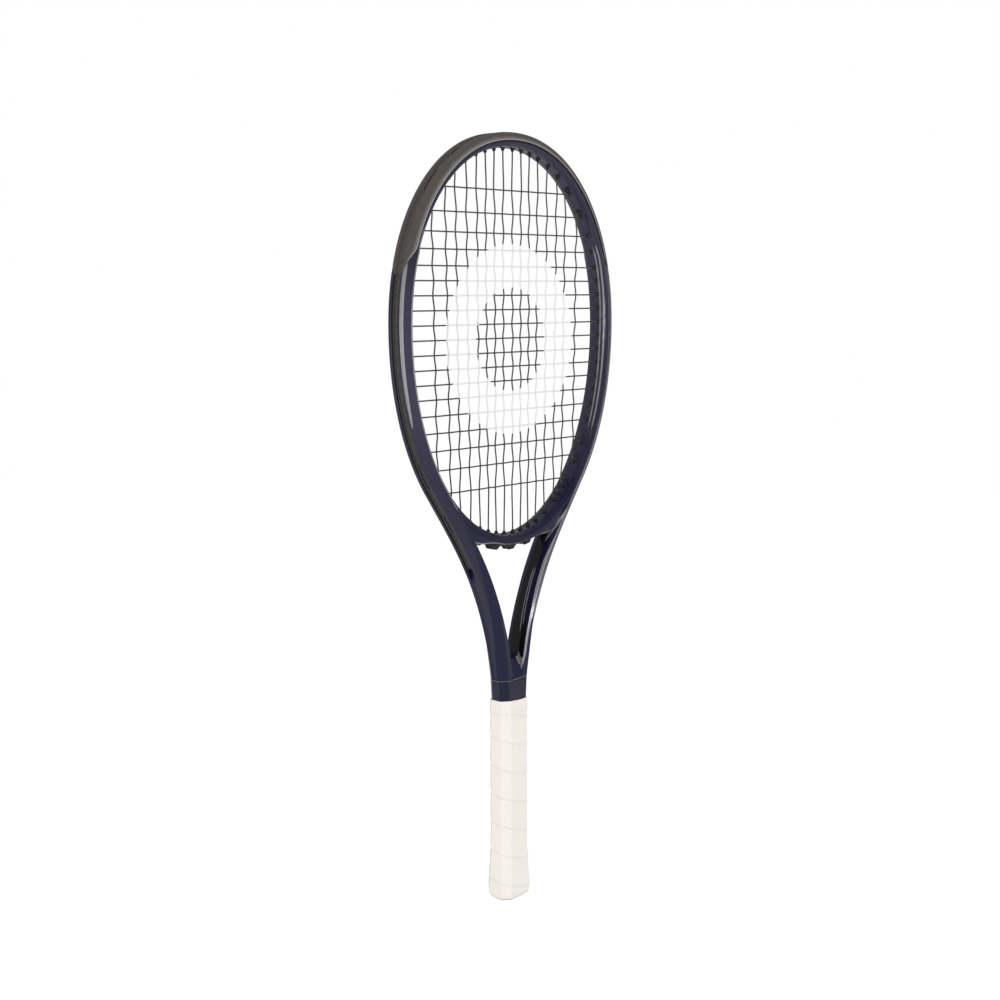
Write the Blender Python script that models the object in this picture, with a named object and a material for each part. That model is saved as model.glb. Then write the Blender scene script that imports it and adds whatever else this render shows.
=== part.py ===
"""Tennis racket: hollow hairpin frame, throat bridge, woven string bed and wrapped handle.

+X runs across the head, +Y along the string bed's normal and +Z from the butt to the head.
The origin is the centre of the butt's flat underside. Driving dimensions are in millimetres.
Every swept piece of the frame uses offsets (r, y): r outward from the hoop's centreline in the
plane of the strings, y along the string bed's normal.
"""

import math

import bmesh
import bpy
from mathutils import Vector

MM = 0.001

# Hoop centreline: two half super-ellipses that meet at its widest point
HOOP_HALF_WIDTH = 132.2
HOOP_CENTRE_Z = 521.0
HOOP_TOP = 158.8
HOOP_LOW = 190.2
TOP_POWER = 2.1
LOW_POWER = 2.03

# Arm centreline: one cubic from the parallel legs in the handle to the hoop
ARM_ANGLE = -45.65
LEG_X = 6.75
LEG_BOTTOM = 6.0
LEG_TOP = 140.0
LEG_PULL = 132.0
HOOP_PULL = 83.0

# Tube section
INNER_R = 6.3
OUTER_R = 6.6
BEAM = 11.8
SIDE_FLAT = 7.0
SHAFT_OUTER_R = 7.5
SHAFT_BEAM = 10.9
SHAFT_FLAT = 4.2
LEG_R = 5.6
LEG_BEAM = 8.4
LEG_FLAT = 4.0
WALL = 1.7
GROOVE_FLOOR = 2.9
GROOVE_HALF = 3.6
FLOOR_HALF = 3.0
RECESS_OUTER_R = 4.2
RECESS_BEAM = 10.9
ARM_LEVELS = (140, 165, 185, 205, 207.5, 218, 229, 241, 254, 268, 284, 299, 309, 313, 328, 343, 358, 372)
GROOVE_START = (299, 309)
STRIP_END_Z = 313
RECESS_ANGLES = (15.4, 17.1)
LOWER_HOOP_STEPS = 8
UPPER_HOOP_STEPS = 9

# Throat bridge and its grommet strip
BRIDGE_HALF_ANGLE = 37.0
BRIDGE_STEPS = 14
BRIDGE_OUTER_R = 2.8
SADDLE_CENTRES = (-43.0, -21.3, 0.0, 21.3, 43.0)
SADDLE_HALF = 7.5
SADDLE_TOP_HALF = 4.5
SADDLE_HEIGHT = 4.3
THROAT_STRIP_HALF = 53.0

# String bed
GAUGE = 1.3
FIRST_MAIN = 6.0
MAIN_GAPS = (10.8, 10.8, 10.8, 12.7, 13.0, 12.2, 16.0)
MAIN_FAN = 0.072 / 300
FAN_CENTRE_Z = 522.7
TOP_CROSS_Z = 637.4
CROSS_GAPS = (20.2, 16.8, 14.4, 13.8) + (12.4,) * 9 + (13.7, 14.7, 15.1, 16.6, 20.3)
WEAVE = 1.0
LANE = 1.9
BRIDGE_MAINS = 5
MAIN_TIE_Z = 408.5
START_TIE_ANGLE = 54.4
END_TIE_ANGLE = -56.4

# Grommets
FRAME_HOLE = 2.2
BARREL = 1.85
BORE = 1.3
NORMAL_SHARE = 2.0
BRIDGE_NORMAL_SHARE = 0.35
MAIN_NOSE = 2.0
CROSS_NOSE = 1.2
STRING_LEVEL = 5.05
BRIDGE_STRING_LEVEL = 5.3
BARREL_ROOT = 3.65

# Handle
PALLET = (15.2, 10.4)
PALLET_BEVEL = (5.8, 5.8)
PALLET_Z = (4.4, 181.4)
PALLET_BORE_Y = 8.75
BORE_BEVEL = (5.2, 4.0)
BORE_ROOM = 0.4
COLLAR_Z = (181.8, 204.7)
STAPLE_Z = 14.0
STAPLE_LEG_Y = 4.0
GAP = 0.3
GRIP_THICKNESS = 1.7

CARBON = ("navy_lacquer", (0.035, 0.035, 0.09), 0.25, 0.0)
GUARD = ("guard_nylon", (0.09, 0.08, 0.075), 0.6, 0.0)
GROMMET = ("grommet_nylon", (0.02, 0.02, 0.022), 0.5, 0.0)
STRING = ("string_multifilament", (0.10, 0.09, 0.085), 0.35, 0.0)
FOAM = ("handle_foam", (0.45, 0.43, 0.36), 0.8, 0.0)
CAP = ("butt_cap_nylon", (0.50, 0.53, 0.50), 0.5, 0.0)
STEEL = ("staple_steel", (0.6, 0.6, 0.6), 0.35, 1.0)
GRIP = ("grip_polyurethane", (0.85, 0.83, 0.79), 0.5, 0.0)
TAPE = ("finishing_tape", (0.88, 0.87, 0.84), 0.4, 0.0)


def clear_scene():
    for thing in list(bpy.data.objects):
        bpy.data.objects.remove(thing, do_unlink=True)


def material(spec):
    name, colour, roughness, metallic = spec
    found = bpy.data.materials.get(name)
    if found:
        return found
    made = bpy.data.materials.new(name)
    made.use_nodes = True
    shader = made.node_tree.nodes["Principled BSDF"]
    shader.inputs["Base Color"].default_value = (*colour, 1.0)
    shader.inputs["Roughness"].default_value = roughness
    shader.inputs["Metallic"].default_value = metallic
    made.diffuse_color = (*colour, 1.0)
    return made


def add_object(name, data, spec):
    thing = bpy.data.objects.new(name, data)
    bpy.context.scene.collection.objects.link(thing)
    data.materials.append(material(spec))
    return thing


def mesh_object(name, bm, spec):
    bmesh.ops.recalc_face_normals(bm, faces=bm.faces)
    if bm.calc_volume(signed=True) < 0:
        bmesh.ops.reverse_faces(bm, faces=bm.faces)
    data = bpy.data.meshes.new(name)
    bm.to_mesh(data)
    bm.free()
    return add_object(name, data, spec)


def boolean(thing, other, operation):
    step = thing.modifiers.new(other.name, "BOOLEAN")
    step.operation = operation
    step.solver = "EXACT"
    step.object = other
    other.hide_render = True
    other.display_type = "WIRE"


def ramp(value, low, high):
    return min(1.0, max(0.0, (value - low) / (high - low)))


def mix(a, b, share):
    return a + (b - a) * share


def bisect(test, low, high):
    """Where test changes sign between low and high."""
    rising = test(high) > 0
    for _ in range(32):
        middle = (low + high) / 2
        if (test(middle) > 0) == rising:
            high = middle
        else:
            low = middle
    return (low + high) / 2


# ---- curves ----


def hoop(angle):
    """The hoop's centreline at an angle in degrees, from +X about the hoop's centre."""
    c = math.cos(math.radians(angle))
    s = math.sin(math.radians(angle))
    power, height = (TOP_POWER, HOOP_TOP) if s > 0 else (LOW_POWER, HOOP_LOW)
    size = (abs(c) ** power + abs(s) ** power) ** (1 / power)
    return Vector((HOOP_HALF_WIDTH * c / size, 0, HOOP_CENTRE_Z + height * s / size))


def arm(share):
    """The right arm's centreline, from the top of the straight leg (0) to the hoop (1)."""
    start = Vector((LEG_X, 0, LEG_TOP))
    end = hoop(ARM_ANGLE)
    along_hoop = (hoop(ARM_ANGLE + 0.01) - hoop(ARM_ANGLE - 0.01)).normalized()
    points = (start, start + Vector((0, 0, LEG_PULL)), end - along_hoop * HOOP_PULL, end)
    rest = 1 - share
    weights = (rest**3, 3 * rest**2 * share, 3 * rest * share**2, share**3)
    return sum((p * w for p, w in zip(points, weights)), Vector())


def spine(u):
    """The right half of the hairpin: leg (-1 to 0), arm (0 to 1), hoop (1 to 2)."""
    if u < 0:
        return Vector((LEG_X, 0, mix(LEG_TOP, LEG_BOTTOM, -u)))
    if u < 1:
        return arm(u)
    return hoop(mix(ARM_ANGLE, 90.0, u - 1))


def hoop_u(angle):
    return 1 + (angle - ARM_ANGLE) / (90.0 - ARM_ANGLE)


def arm_u(z):
    return bisect(lambda u: arm(u).z - z, 0.0, 1.0)


def station(curve, u, side=1):
    """A point of a curve and its outward normal, on the right (1) or mirrored to the left (-1)."""
    step = 0.0005 * (1 if curve is spine else 100)
    point = curve(u)
    along = (curve(u + step) - curve(u - step)).normalized()
    outward = Vector((along.z, 0, -along.x))
    if side < 0:
        point.x = -point.x
        outward.x = -outward.x
    return point, outward


def place(spot, r, y):
    point, outward = spot
    return point + outward * r + Vector((0, y, 0))


# ---- meshes from rings ----


def skin(rings, closed=False):
    """A bmesh through rings of equal length; the ends are capped unless the rings close."""
    bm = bmesh.new()
    rows = [[bm.verts.new(p * MM) for p in ring] for ring in rings]
    pairs = list(zip(rows, rows[1:]))
    if closed:
        pairs.append((rows[-1], rows[0]))
    for one, two in pairs:
        for k in range(len(one)):
            n = (k + 1) % len(one)
            bm.faces.new((one[k], one[n], two[n], two[k]))
    if not closed:
        bm.faces.new(rows[0])
        bm.faces.new(rows[-1])
    return bm


def mirrored(half):
    """A closed outline from its y > 0 half, listed from the inner side to the outer side."""
    return half + [(r, -y) for r, y in reversed(half)]


def sweep(spots, outlines):
    return skin([[place(spot, r, y) for r, y in outline] for spot, outline in zip(spots, outlines)])


def add_prism(bm, start, end, radius, sides=6):
    axis = (end - start).normalized()
    across = Vector((0, 1, 0))
    up = axis.cross(across)
    rings = []
    for centre in (start, end):
        turns = [2 * math.pi * k / sides for k in range(sides)]
        corners = [centre + (across * math.cos(a) + up * math.sin(a)) * radius for a in turns]
        rings.append([bm.verts.new(p * MM) for p in corners])
    for k in range(sides):
        n = (k + 1) % sides
        bm.faces.new((rings[0][k], rings[0][n], rings[1][n], rings[1][k]))
    bm.faces.new(rings[0])
    bm.faces.new(rings[1])


def prisms(name, lines, radius, spec):
    bm = bmesh.new()
    for start, end in lines:
        add_prism(bm, start, end, radius)
    return mesh_object(name, bm, spec)


def box(name, low, high, spec):
    bm = bmesh.new()
    bmesh.ops.create_cube(bm, size=1.0)
    for vert in bm.verts:
        vert.co = Vector([(low[k] if vert.co[k] < 0 else high[k]) * MM for k in range(3)])
    return mesh_object(name, bm, spec)


# ---- frame tube ----


def tube_size(u):
    """Inner and outer reach, half beam, half width of the outer flat and groove floor at u."""
    z = spine(u).z
    if u <= 1:
        full = ramp(z, ARM_LEVELS[3], ARM_LEVELS[4])
        outer = mix(LEG_R, mix(SHAFT_OUTER_R, OUTER_R, ramp(z, 226, 285)), full)
        beam = mix(LEG_BEAM, mix(SHAFT_BEAM, BEAM, ramp(z, 207, 300)), full)
        flat = mix(LEG_FLAT, mix(SHAFT_FLAT, SIDE_FLAT, ramp(z, 207, 290)), full)
        floor = mix(outer, GROOVE_FLOOR, ramp(z, *GROOVE_START))
        return INNER_R, outer, beam, flat, floor
    recess = ramp(mix(ARM_ANGLE, 90.0, u - 1), *RECESS_ANGLES)
    outer = mix(OUTER_R, RECESS_OUTER_R, recess)
    return INNER_R, outer, mix(BEAM, RECESS_BEAM, recess), SIDE_FLAT, GROOVE_FLOOR


def tube_outline(u):
    inner, outer, beam, flat, floor = tube_size(u)
    return mirrored([
        (-inner, 0.45 * beam),
        (1.2 - inner, 0.80 * beam),
        (-0.48 * inner, beam),
        (outer, flat),
        (outer, GROOVE_HALF),
        (floor, FLOOR_HALF),
    ])


def cavity_outline(u):
    inner, outer, beam, flat, floor = tube_size(u)
    return mirrored([
        (WALL - inner, 0.40 * beam),
        (-0.45 * inner, beam - 2.2),
        (outer - 2.6, flat - 0.6),
        (floor - 1.6, FLOOR_HALF),
    ])


def envelope_outline(u):
    """The tube's outline with a running gap and no groove, used to trim its neighbours."""
    inner, outer, beam, flat, _ = tube_size(u)
    return mirrored([
        (-inner - GAP, 0.45 * beam),
        (1.2 - inner - GAP, 0.80 * beam + GAP),
        (-0.48 * inner, beam + GAP),
        (outer + GAP, flat + GAP),
    ])


def hoop_angles():
    low = [mix(ARM_ANGLE, RECESS_ANGLES[0], k / LOWER_HOOP_STEPS) for k in range(LOWER_HOOP_STEPS + 1)]
    high = [mix(RECESS_ANGLES[1], 90.0, k / UPPER_HOOP_STEPS) for k in range(UPPER_HOOP_STEPS + 1)]
    return low + high


def right_stations():
    return [-1.0] + [arm_u(z) for z in ARM_LEVELS] + [hoop_u(a) for a in hoop_angles()]


def hairpin(keep, outline):
    """Sweep an outline over the right stations that keep() accepts, over the top to the left."""
    chosen = [u for u in right_stations() if keep(u)]
    both = [(u, 1) for u in chosen] + [(u, -1) for u in reversed(chosen) if u < 2]
    return sweep([station(spine, u, side) for u, side in both], [outline(u) for u, side in both])


def one_side(side, keep, outline):
    chosen = [u for u in right_stations() if keep(u)]
    return sweep([station(spine, u, side) for u in chosen], [outline(u) for u in chosen])


def build_frame_tube(holes):
    tube = mesh_object("frame_tube", hairpin(lambda u: True, tube_outline), CARBON)
    inside = hairpin(lambda u: True, cavity_outline)
    ends = [v for v in inside.verts if v.co.z < (LEG_BOTTOM + 1) * MM]
    bmesh.ops.translate(inside, verts=ends, vec=Vector((0, 0, -2 * MM)))
    boolean(tube, mesh_object("cut_cavity", inside, CARBON), "DIFFERENCE")
    lines = [hole.cutter() for hole in holes]
    boolean(tube, prisms("cut_frame_holes", lines, FRAME_HOLE, CARBON), "DIFFERENCE")


def build_throat_wedge():
    """Moulded filler between the converging arms; its top is the floor of the crotch."""
    rings = []
    for z in (185, 205, 207.5, 218, 229):
        u = arm_u(z)
        inner, _, beam, _, _ = tube_size(u)
        side = [(1.2 - inner - GAP, 0.80 * beam), (-inner - GAP, 0.45 * beam)]
        side += [(r, -y) for r, y in reversed(side)]
        right = [place(station(spine, u, 1), r, y) for r, y in side]
        left = [place(station(spine, u, -1), r, y) for r, y in reversed(side)]
        rings.append(right + left)
    mesh_object("throat_wedge", skin(rings), CARBON)


# ---- throat bridge ----


def build_throat_bridge(holes):
    half = [(-INNER_R, 5.2), (-5.0, 9.2), (-2.6, 11.4), (1.0, 10.2), (BRIDGE_OUTER_R, 8.4)]
    first = -90 - BRIDGE_HALF_ANGLE
    angles = [first + 2 * BRIDGE_HALF_ANGLE * k / BRIDGE_STEPS for k in range(BRIDGE_STEPS + 1)]
    body = sweep([station(hoop, a) for a in angles], [mirrored(half)] * len(angles))
    bridge = mesh_object("throat_bridge", body, CARBON)
    low, high = arm_u(284), hoop_u(-30)
    for side, word in ((1, "right"), (-1, "left")):
        arm_shape = one_side(side, lambda u: low - 0.001 < u < high, envelope_outline)
        boolean(bridge, mesh_object("cut_bridge_" + word, arm_shape, CARBON), "DIFFERENCE")
    lines = [hole.cutter() for hole in holes]
    boolean(bridge, prisms("cut_bridge_holes", lines, FRAME_HOLE, CARBON), "DIFFERENCE")


# ---- string holes ----


TRACKS = {}


def outer_track(in_bridge, side):
    """Points along the strings' level outside the bridge, or outside one half of the hairpin."""
    key = (in_bridge, side)
    if key not in TRACKS:
        if in_bridge:
            marks = [-90 + BRIDGE_HALF_ANGLE * (k / 60 - 1) for k in range(121)]
            TRACKS[key] = [(a, place(station(hoop, a), BRIDGE_STRING_LEVEL, 0)) for a in marks]
        else:
            low = arm_u(GROOVE_START[1])
            marks = [mix(low, 2.0, k / 180) for k in range(181)]
            TRACKS[key] = [(u, place(station(spine, u, side), STRING_LEVEL, 0)) for u in marks]
    return TRACKS[key]


class Hole:
    """One string hole: its axis runs from the hoop's inner face to the string's level outside."""

    def __init__(self, face, string_way, nose, in_bridge=False):
        self.in_bridge = in_bridge
        self.side = 1 if face[0].x >= 0 else -1
        inner_point = place(face, -INNER_R, 0)
        aim = (face[1] * (BRIDGE_NORMAL_SHARE if in_bridge else NORMAL_SHARE) + string_way).normalized()
        self.level = BRIDGE_STRING_LEVEL if in_bridge else STRING_LEVEL
        self.u = self.find_exit(inner_point, aim)
        spot = self.spot(self.u)
        self.outlet = place(spot, self.level, 0)
        self.axis = (self.outlet - inner_point).normalized()
        self.mouth = inner_point - self.axis * nose
        self.bend = self.mouth - self.axis
        self.slope = self.axis.dot(spot[1])
        self.face = inner_point

    def spot(self, u):
        if self.in_bridge:
            return station(hoop, u)
        return station(spine, u, self.side)

    def find_exit(self, start, aim):
        """Where the ray from start along aim meets the curve at the strings' level."""
        before = None
        for u, point in outer_track(self.in_bridge, self.side):
            gap = point - start
            miss = gap.x * aim.z - gap.z * aim.x
            if before and gap.dot(aim) > 0 and (miss > 0) != (before[1] > 0):
                return mix(before[0], u, before[1] / (before[1] - miss))
            before = (u, miss)
        return u

    def cutter(self):
        return self.face - self.axis * 1.3, self.outlet

    def barrel(self):
        return self.mouth, self.outlet - self.axis * ((self.level - BARREL_ROOT) / self.slope)

    def bore(self):
        return self.mouth - self.axis, self.outlet + self.axis

    def knot(self):
        """Points and relative radii of a string end: a tight knot against the grommet's mouth."""
        return [(self.mouth - self.axis * d, r) for d, r in ((0.6, 1), (1.0, 1.8), (2.9, 1.8), (3.3, 0.7))]


def main_x(start, z):
    return start * (1 + MAIN_FAN * (z - FAN_CENTRE_Z))


def main_offsets():
    offsets = [FIRST_MAIN]
    for gap in MAIN_GAPS:
        offsets.append(offsets[-1] + gap)
    return offsets


def cross_heights():
    heights = [TOP_CROSS_Z]
    for gap in CROSS_GAPS:
        heights.append(heights[-1] - gap)
    return heights


def main_hole(offset, side, top, in_bridge):
    way = Vector((0, 0, 1 if top else -1))

    def build(angle):
        face = station(hoop, angle)
        if side < 0:
            face = (Vector((-face[0].x, 0, face[0].z)), Vector((-face[1].x, 0, face[1].z)))
        return Hole(face, way, MAIN_NOSE, in_bridge)

    def miss(angle):
        bend = build(angle).bend
        return side * bend.x - main_x(offset, bend.z)

    return build(bisect(miss, 35, 89.9) if top else bisect(miss, -89.9, -35))


def cross_hole(z, side):
    way = Vector((side, 0, 0))

    def build(angle):
        point, outward = station(hoop, angle)
        face = (Vector((side * point.x, 0, point.z)), Vector((side * outward.x, 0, outward.z)))
        return Hole(face, way, CROSS_NOSE)

    return build(bisect(lambda angle: build(angle).bend.z - z, -60, 60))


def tie_hole(angle, side, way):
    point, outward = station(hoop, angle)
    face = (Vector((side * point.x, 0, point.z)), Vector((side * outward.x, 0, outward.z)))
    return Hole(face, Vector(way), CROSS_NOSE)


def drill():
    """All string holes: mains by (side, index, top), crosses by (side, index), and tie-offs."""
    mains = {}
    for index, offset in enumerate(main_offsets()):
        for side in (1, -1):
            mains[side, index, True] = main_hole(offset, side, True, False)
            mains[side, index, False] = main_hole(offset, side, False, index < BRIDGE_MAINS)
    crosses = {(s, i): cross_hole(z, s) for i, z in enumerate(cross_heights()) for s in (1, -1)}
    main_tie = bisect(lambda angle: hoop(angle).z - MAIN_TIE_Z, ARM_ANGLE, 0)
    ties = {
        "main_right": tie_hole(main_tie, 1, (1, 0, 0)),
        "main_left": tie_hole(main_tie, -1, (-1, 0, 0)),
        "cross_start": tie_hole(START_TIE_ANGLE, -1, (0, 0, 1)),
        "cross_end": tie_hole(END_TIE_ANGLE, 1, (0, 0, -1)),
    }
    return mains, crosses, ties


# ---- bumper guard and grommet strips ----


def channel_half():
    return [(3.2, 2.6), (4.1, 2.6)]


def guard_outline(_):
    """Guard: a lip over each shoulder of the hoop and a channel for the strings between them."""
    return mirrored([
        (3.2, 3.0), (4.5, 3.5), (4.5, 7.2), (-0.84, 10.1),
        (-0.3, 10.9), (6.0, 7.2), (6.0, 3.8), (4.1, 2.4),
    ])


def strip_outline(_):
    return mirrored(channel_half())


def fit_barrels(thing, holes):
    barrels = prisms("add_barrels_" + thing.name, [h.barrel() for h in holes], BARREL, GROMMET)
    boolean(thing, barrels, "UNION")
    bores = prisms("cut_bores_" + thing.name, [h.bore() for h in holes], BORE, GROMMET)
    boolean(thing, bores, "DIFFERENCE")


def build_guard_and_strips(holes):
    outside = [hole for hole in holes if not hole.in_bridge]
    guard_u = hoop_u(RECESS_ANGLES[1])
    strip_u = hoop_u(RECESS_ANGLES[0])
    guard = mesh_object("bumper_guard", hairpin(lambda u: u > guard_u - 0.001, guard_outline), GUARD)
    fit_barrels(guard, [hole for hole in outside if hole.u > guard_u])
    low = arm_u(STRIP_END_Z) - 0.001
    for side, word in ((1, "right"), (-1, "left")):
        shape = one_side(side, lambda u: low < u < strip_u + 0.001, strip_outline)
        strip = mesh_object("grommet_strip_" + word, shape, GROMMET)
        fit_barrels(strip, [hole for hole in outside if hole.side == side and hole.u < strip_u])


def build_throat_strip(holes):
    """Strip under the bridge; raised ribs flank each string loop."""
    marks = [(-THROAT_STRIP_HALF, 0)]
    for centre in SADDLE_CENTRES:
        for reach, lift in ((-SADDLE_HALF, 0), (-SADDLE_TOP_HALF, 1), (SADDLE_TOP_HALF, 1), (SADDLE_HALF, 0)):
            marks.append((centre + reach, lift))
    marks.append((THROAT_STRIP_HALF, 0))
    spots = []
    outlines = []
    for x, lift in marks:
        angle = bisect(lambda a: place(station(hoop, a), 3.7, 0).x - x, -150, -30)
        spots.append(station(hoop, angle))
        rib = 4.3 + SADDLE_HEIGHT * lift
        outlines.append(mirrored([(3.1, 4.8), (rib, 4.8), (rib, 2.0), (4.3, 1.7)]))
    strip = mesh_object("grommet_strip_throat", sweep(spots, outlines), GROMMET)
    fit_barrels(strip, [hole for hole in holes if hole.in_bridge])


# ---- strings ----


def groove_run(one, two, lane):
    """Points outside the frame from one hole's outlet to another's, in a lane of the groove."""
    span = (two.outlet - one.outlet).length
    count = max(2, round(span / 6))
    points = [one.outlet]
    crosses_axis = one.side != two.side
    for k in range(count):
        share = (k + 0.5) / count
        if one.in_bridge:
            points.append(place(station(hoop, mix(one.u, two.u, share)), one.level, lane))
        elif crosses_axis:
            total = (2 - one.u) + (2 - two.u)
            walk = one.u + total * share
            side = one.side if walk < 2 else two.side
            points.append(place(station(spine, walk if walk < 2 else 4 - walk, side), one.level, lane))
        else:
            points.append(place(one.spot(mix(one.u, two.u, share)), one.level, lane))
    points.append(two.outlet)
    return points


def woven(start, end, partners, sign, place_on_line):
    points = [start.bend]
    for k, partner in partners:
        point = place_on_line(start.bend, end.bend, partner)
        point.y = WEAVE * sign * (1 if k % 2 else -1)
        points.append(point)
    points.append(end.bend)
    return points


def at_height(one, two, z):
    return one.lerp(two, (z - one.z) / (two.z - one.z))


def at_main(one, two, offset):
    x = main_x(offset, one.z)
    return one.lerp(two, (x - one.x) / (two.x - one.x))


def string_curve(name, route):
    """A tube along a route of points, each a Vector or a Vector with a relative radius."""
    pairs = [item if isinstance(item, tuple) else (item, 1.0) for item in route]
    curve = bpy.data.curves.new(name, "CURVE")
    curve.dimensions = "3D"
    # A four-sided section of the same area as the round string
    curve.bevel_depth = math.sqrt(math.pi / 2) * GAUGE / 2 * MM
    curve.bevel_resolution = 0
    curve.use_fill_caps = True
    spline = curve.splines.new("POLY")
    spline.points.add(len(pairs) - 1)
    for point, (place_mm, radius) in zip(spline.points, pairs):
        point.co = (*(place_mm * MM), 1.0)
        point.radius = radius
    add_object(name, curve, STRING)


def main_line(mains, side, index, upwards):
    top = mains[side, index, True]
    bottom = mains[side, index, False]
    column = index if side > 0 else -index - 1
    heights = [(k, z) for k, z in enumerate(cross_heights()) if bottom.bend.z < z < top.bend.z]
    points = woven(top, bottom, heights, 1 if column % 2 else -1, at_height)
    return list(reversed(points)) if upwards else points


def half_of_mains(mains, side, tie):
    """One half of the main string, from its centre main's foot out to its tie-off knot."""
    last = len(main_offsets()) - 1
    route = []
    for index in range(last + 1):
        upwards = index % 2 == 0
        route += main_line(mains, side, index, upwards)
        hole = mains[side, index, upwards]
        following = mains[side, index + 1, upwards] if index < last else tie
        route += groove_run(hole, following, 0 if hole.in_bridge else LANE)
    return route + tie.knot()


def build_main_string(mains, ties):
    left = half_of_mains(mains, -1, ties["main_left"])
    right = half_of_mains(mains, 1, ties["main_right"])
    centre = groove_run(mains[-1, 0, False], mains[1, 0, False], 0)
    middle = [place(station(hoop, -90), BRIDGE_STRING_LEVEL, 0)]
    route = list(reversed(left)) + [centre[0]] + middle + [centre[-1]] + right
    string_curve("main_string", route)


def cross_line(crosses, mains, index, rightwards):
    side = -1 if rightwards else 1
    start, end = crosses[side, index], crosses[-side, index]
    partners = []
    for s in (-1, 1):
        for k, offset in enumerate(main_offsets()):
            bottom, top = mains[s, k, False].bend.z, mains[s, k, True].bend.z
            if bottom < start.bend.z < top:
                partners.append((k if s > 0 else -k - 1, s * offset))
    partners.sort(key=lambda pair: pair[1] * -side)
    return woven(start, end, partners, -1 if index % 2 else 1, at_main)


def build_cross_string(crosses, mains, ties):
    count = len(cross_heights())
    route = list(reversed(ties["cross_start"].knot()))
    route += groove_run(ties["cross_start"], crosses[-1, 0], -LANE)
    for index in range(count):
        rightwards = index % 2 == 0
        route += cross_line(crosses, mains, index, rightwards)
        side = 1 if rightwards else -1
        following = crosses[side, index + 1] if index + 1 < count else ties["cross_end"]
        route += groove_run(crosses[side, index], following, -LANE)
    string_curve("cross_string", route + ties["cross_end"].knot())


# ---- handle ----


def octagon(half_x, half_y, bevel, z):
    bx, by = bevel
    corners = [(half_x, half_y - by), (half_x - bx, half_y)]
    corners += [(-x, y) for x, y in reversed(corners)]
    corners += [(-x, -y) for x, y in corners]
    return [Vector((x, y, z)) for x, y in corners]


def grown(size, by):
    return size[0] + by, size[1] + by


def octagon_shell(name, rings, spec):
    """A sleeve from octagon rings listed once around its section; the last joins the first."""
    return mesh_object(name, skin([octagon(*ring) for ring in rings], closed=True), spec)


def cap_outside(z):
    """Half width and half depth of the butt cap's outside: a flare that tucks in at the rim."""
    levels = ((0, -1.2), (1.6, 0.6), (6, 1.7), (13, 2.1), (21, 1.5), (30, 0.9), (40, 0.85))
    for (z0, g0), (z1, g1) in zip(levels, levels[1:]):
        if z <= z1:
            return grown(PALLET, mix(g0, g1, ramp(z, z0, z1)))
    return grown(PALLET, levels[-1][1])


def leg_reach(z):
    """Half width that the handle's inner pieces leave free for the frame's two legs at z."""
    x = spine(arm_u(z)).x if z > LEG_TOP else LEG_X
    return x + LEG_R + BORE_ROOM


def pallet_edge(z, side):
    """One half shell's section at z: half of the octagon outside, half of the bore inside."""
    split = side * GAP / 2
    reach = leg_reach(z)
    outer = [p for p in octagon(*PALLET, PALLET_BEVEL, z) if p.y * side > 0]
    inner = [p for p in octagon(reach, PALLET_BORE_Y, BORE_BEVEL, z) if p.y * side > 0]
    outer.sort(key=lambda p: math.atan2(p.y * side, p.x))
    inner.sort(key=lambda p: -math.atan2(p.y * side, p.x))
    near = [Vector((PALLET[0], split, z))] + outer + [Vector((-PALLET[0], split, z))]
    return near + [Vector((-reach, split, z))] + inner + [Vector((reach, split, z))]


def build_pallets():
    low, high = PALLET_Z
    for side, word in ((-1, "front"), (1, "back")):
        rings = [pallet_edge(z, side) for z in (low, LEG_TOP, 160, high)]
        pallet = mesh_object("pallet_" + word, skin(rings), FOAM)
        for hand, name in ((1, "right"), (-1, "left")):
            boolean(pallet, staple_leg_hole(hand, side, "cut_" + word + "_" + name), "DIFFERENCE")


def staple_leg_hole(hand, side, name):
    inner, outer = sorted((hand * (leg_reach(STAPLE_Z) - 1), hand * (PALLET[0] + 4)))
    low = (inner, side * STAPLE_LEG_Y - 0.6, STAPLE_Z - 0.6)
    high = (outer, side * STAPLE_LEG_Y + 0.6, STAPLE_Z + 0.6)
    return box(name, low, high, FOAM)


def build_staples():
    crown = PALLET[0] + 1.35
    tip = leg_reach(STAPLE_Z) + GAP
    reach = STAPLE_LEG_Y + 0.3
    for hand, word in ((1, "right"), (-1, "left")):
        outline = [
            (crown, reach), (crown, -reach), (tip, -reach), (tip, 0.6 - reach),
            (crown - 0.5, 0.6 - reach), (crown - 0.5, reach - 0.6), (tip, reach - 0.6), (tip, reach),
        ]
        rings = [[Vector((hand * x, y, z)) for x, y in outline] for z in (STAPLE_Z - 0.3, STAPLE_Z + 0.3)]
        mesh_object("cap_staple_" + word, skin(rings), STEEL)


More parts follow.
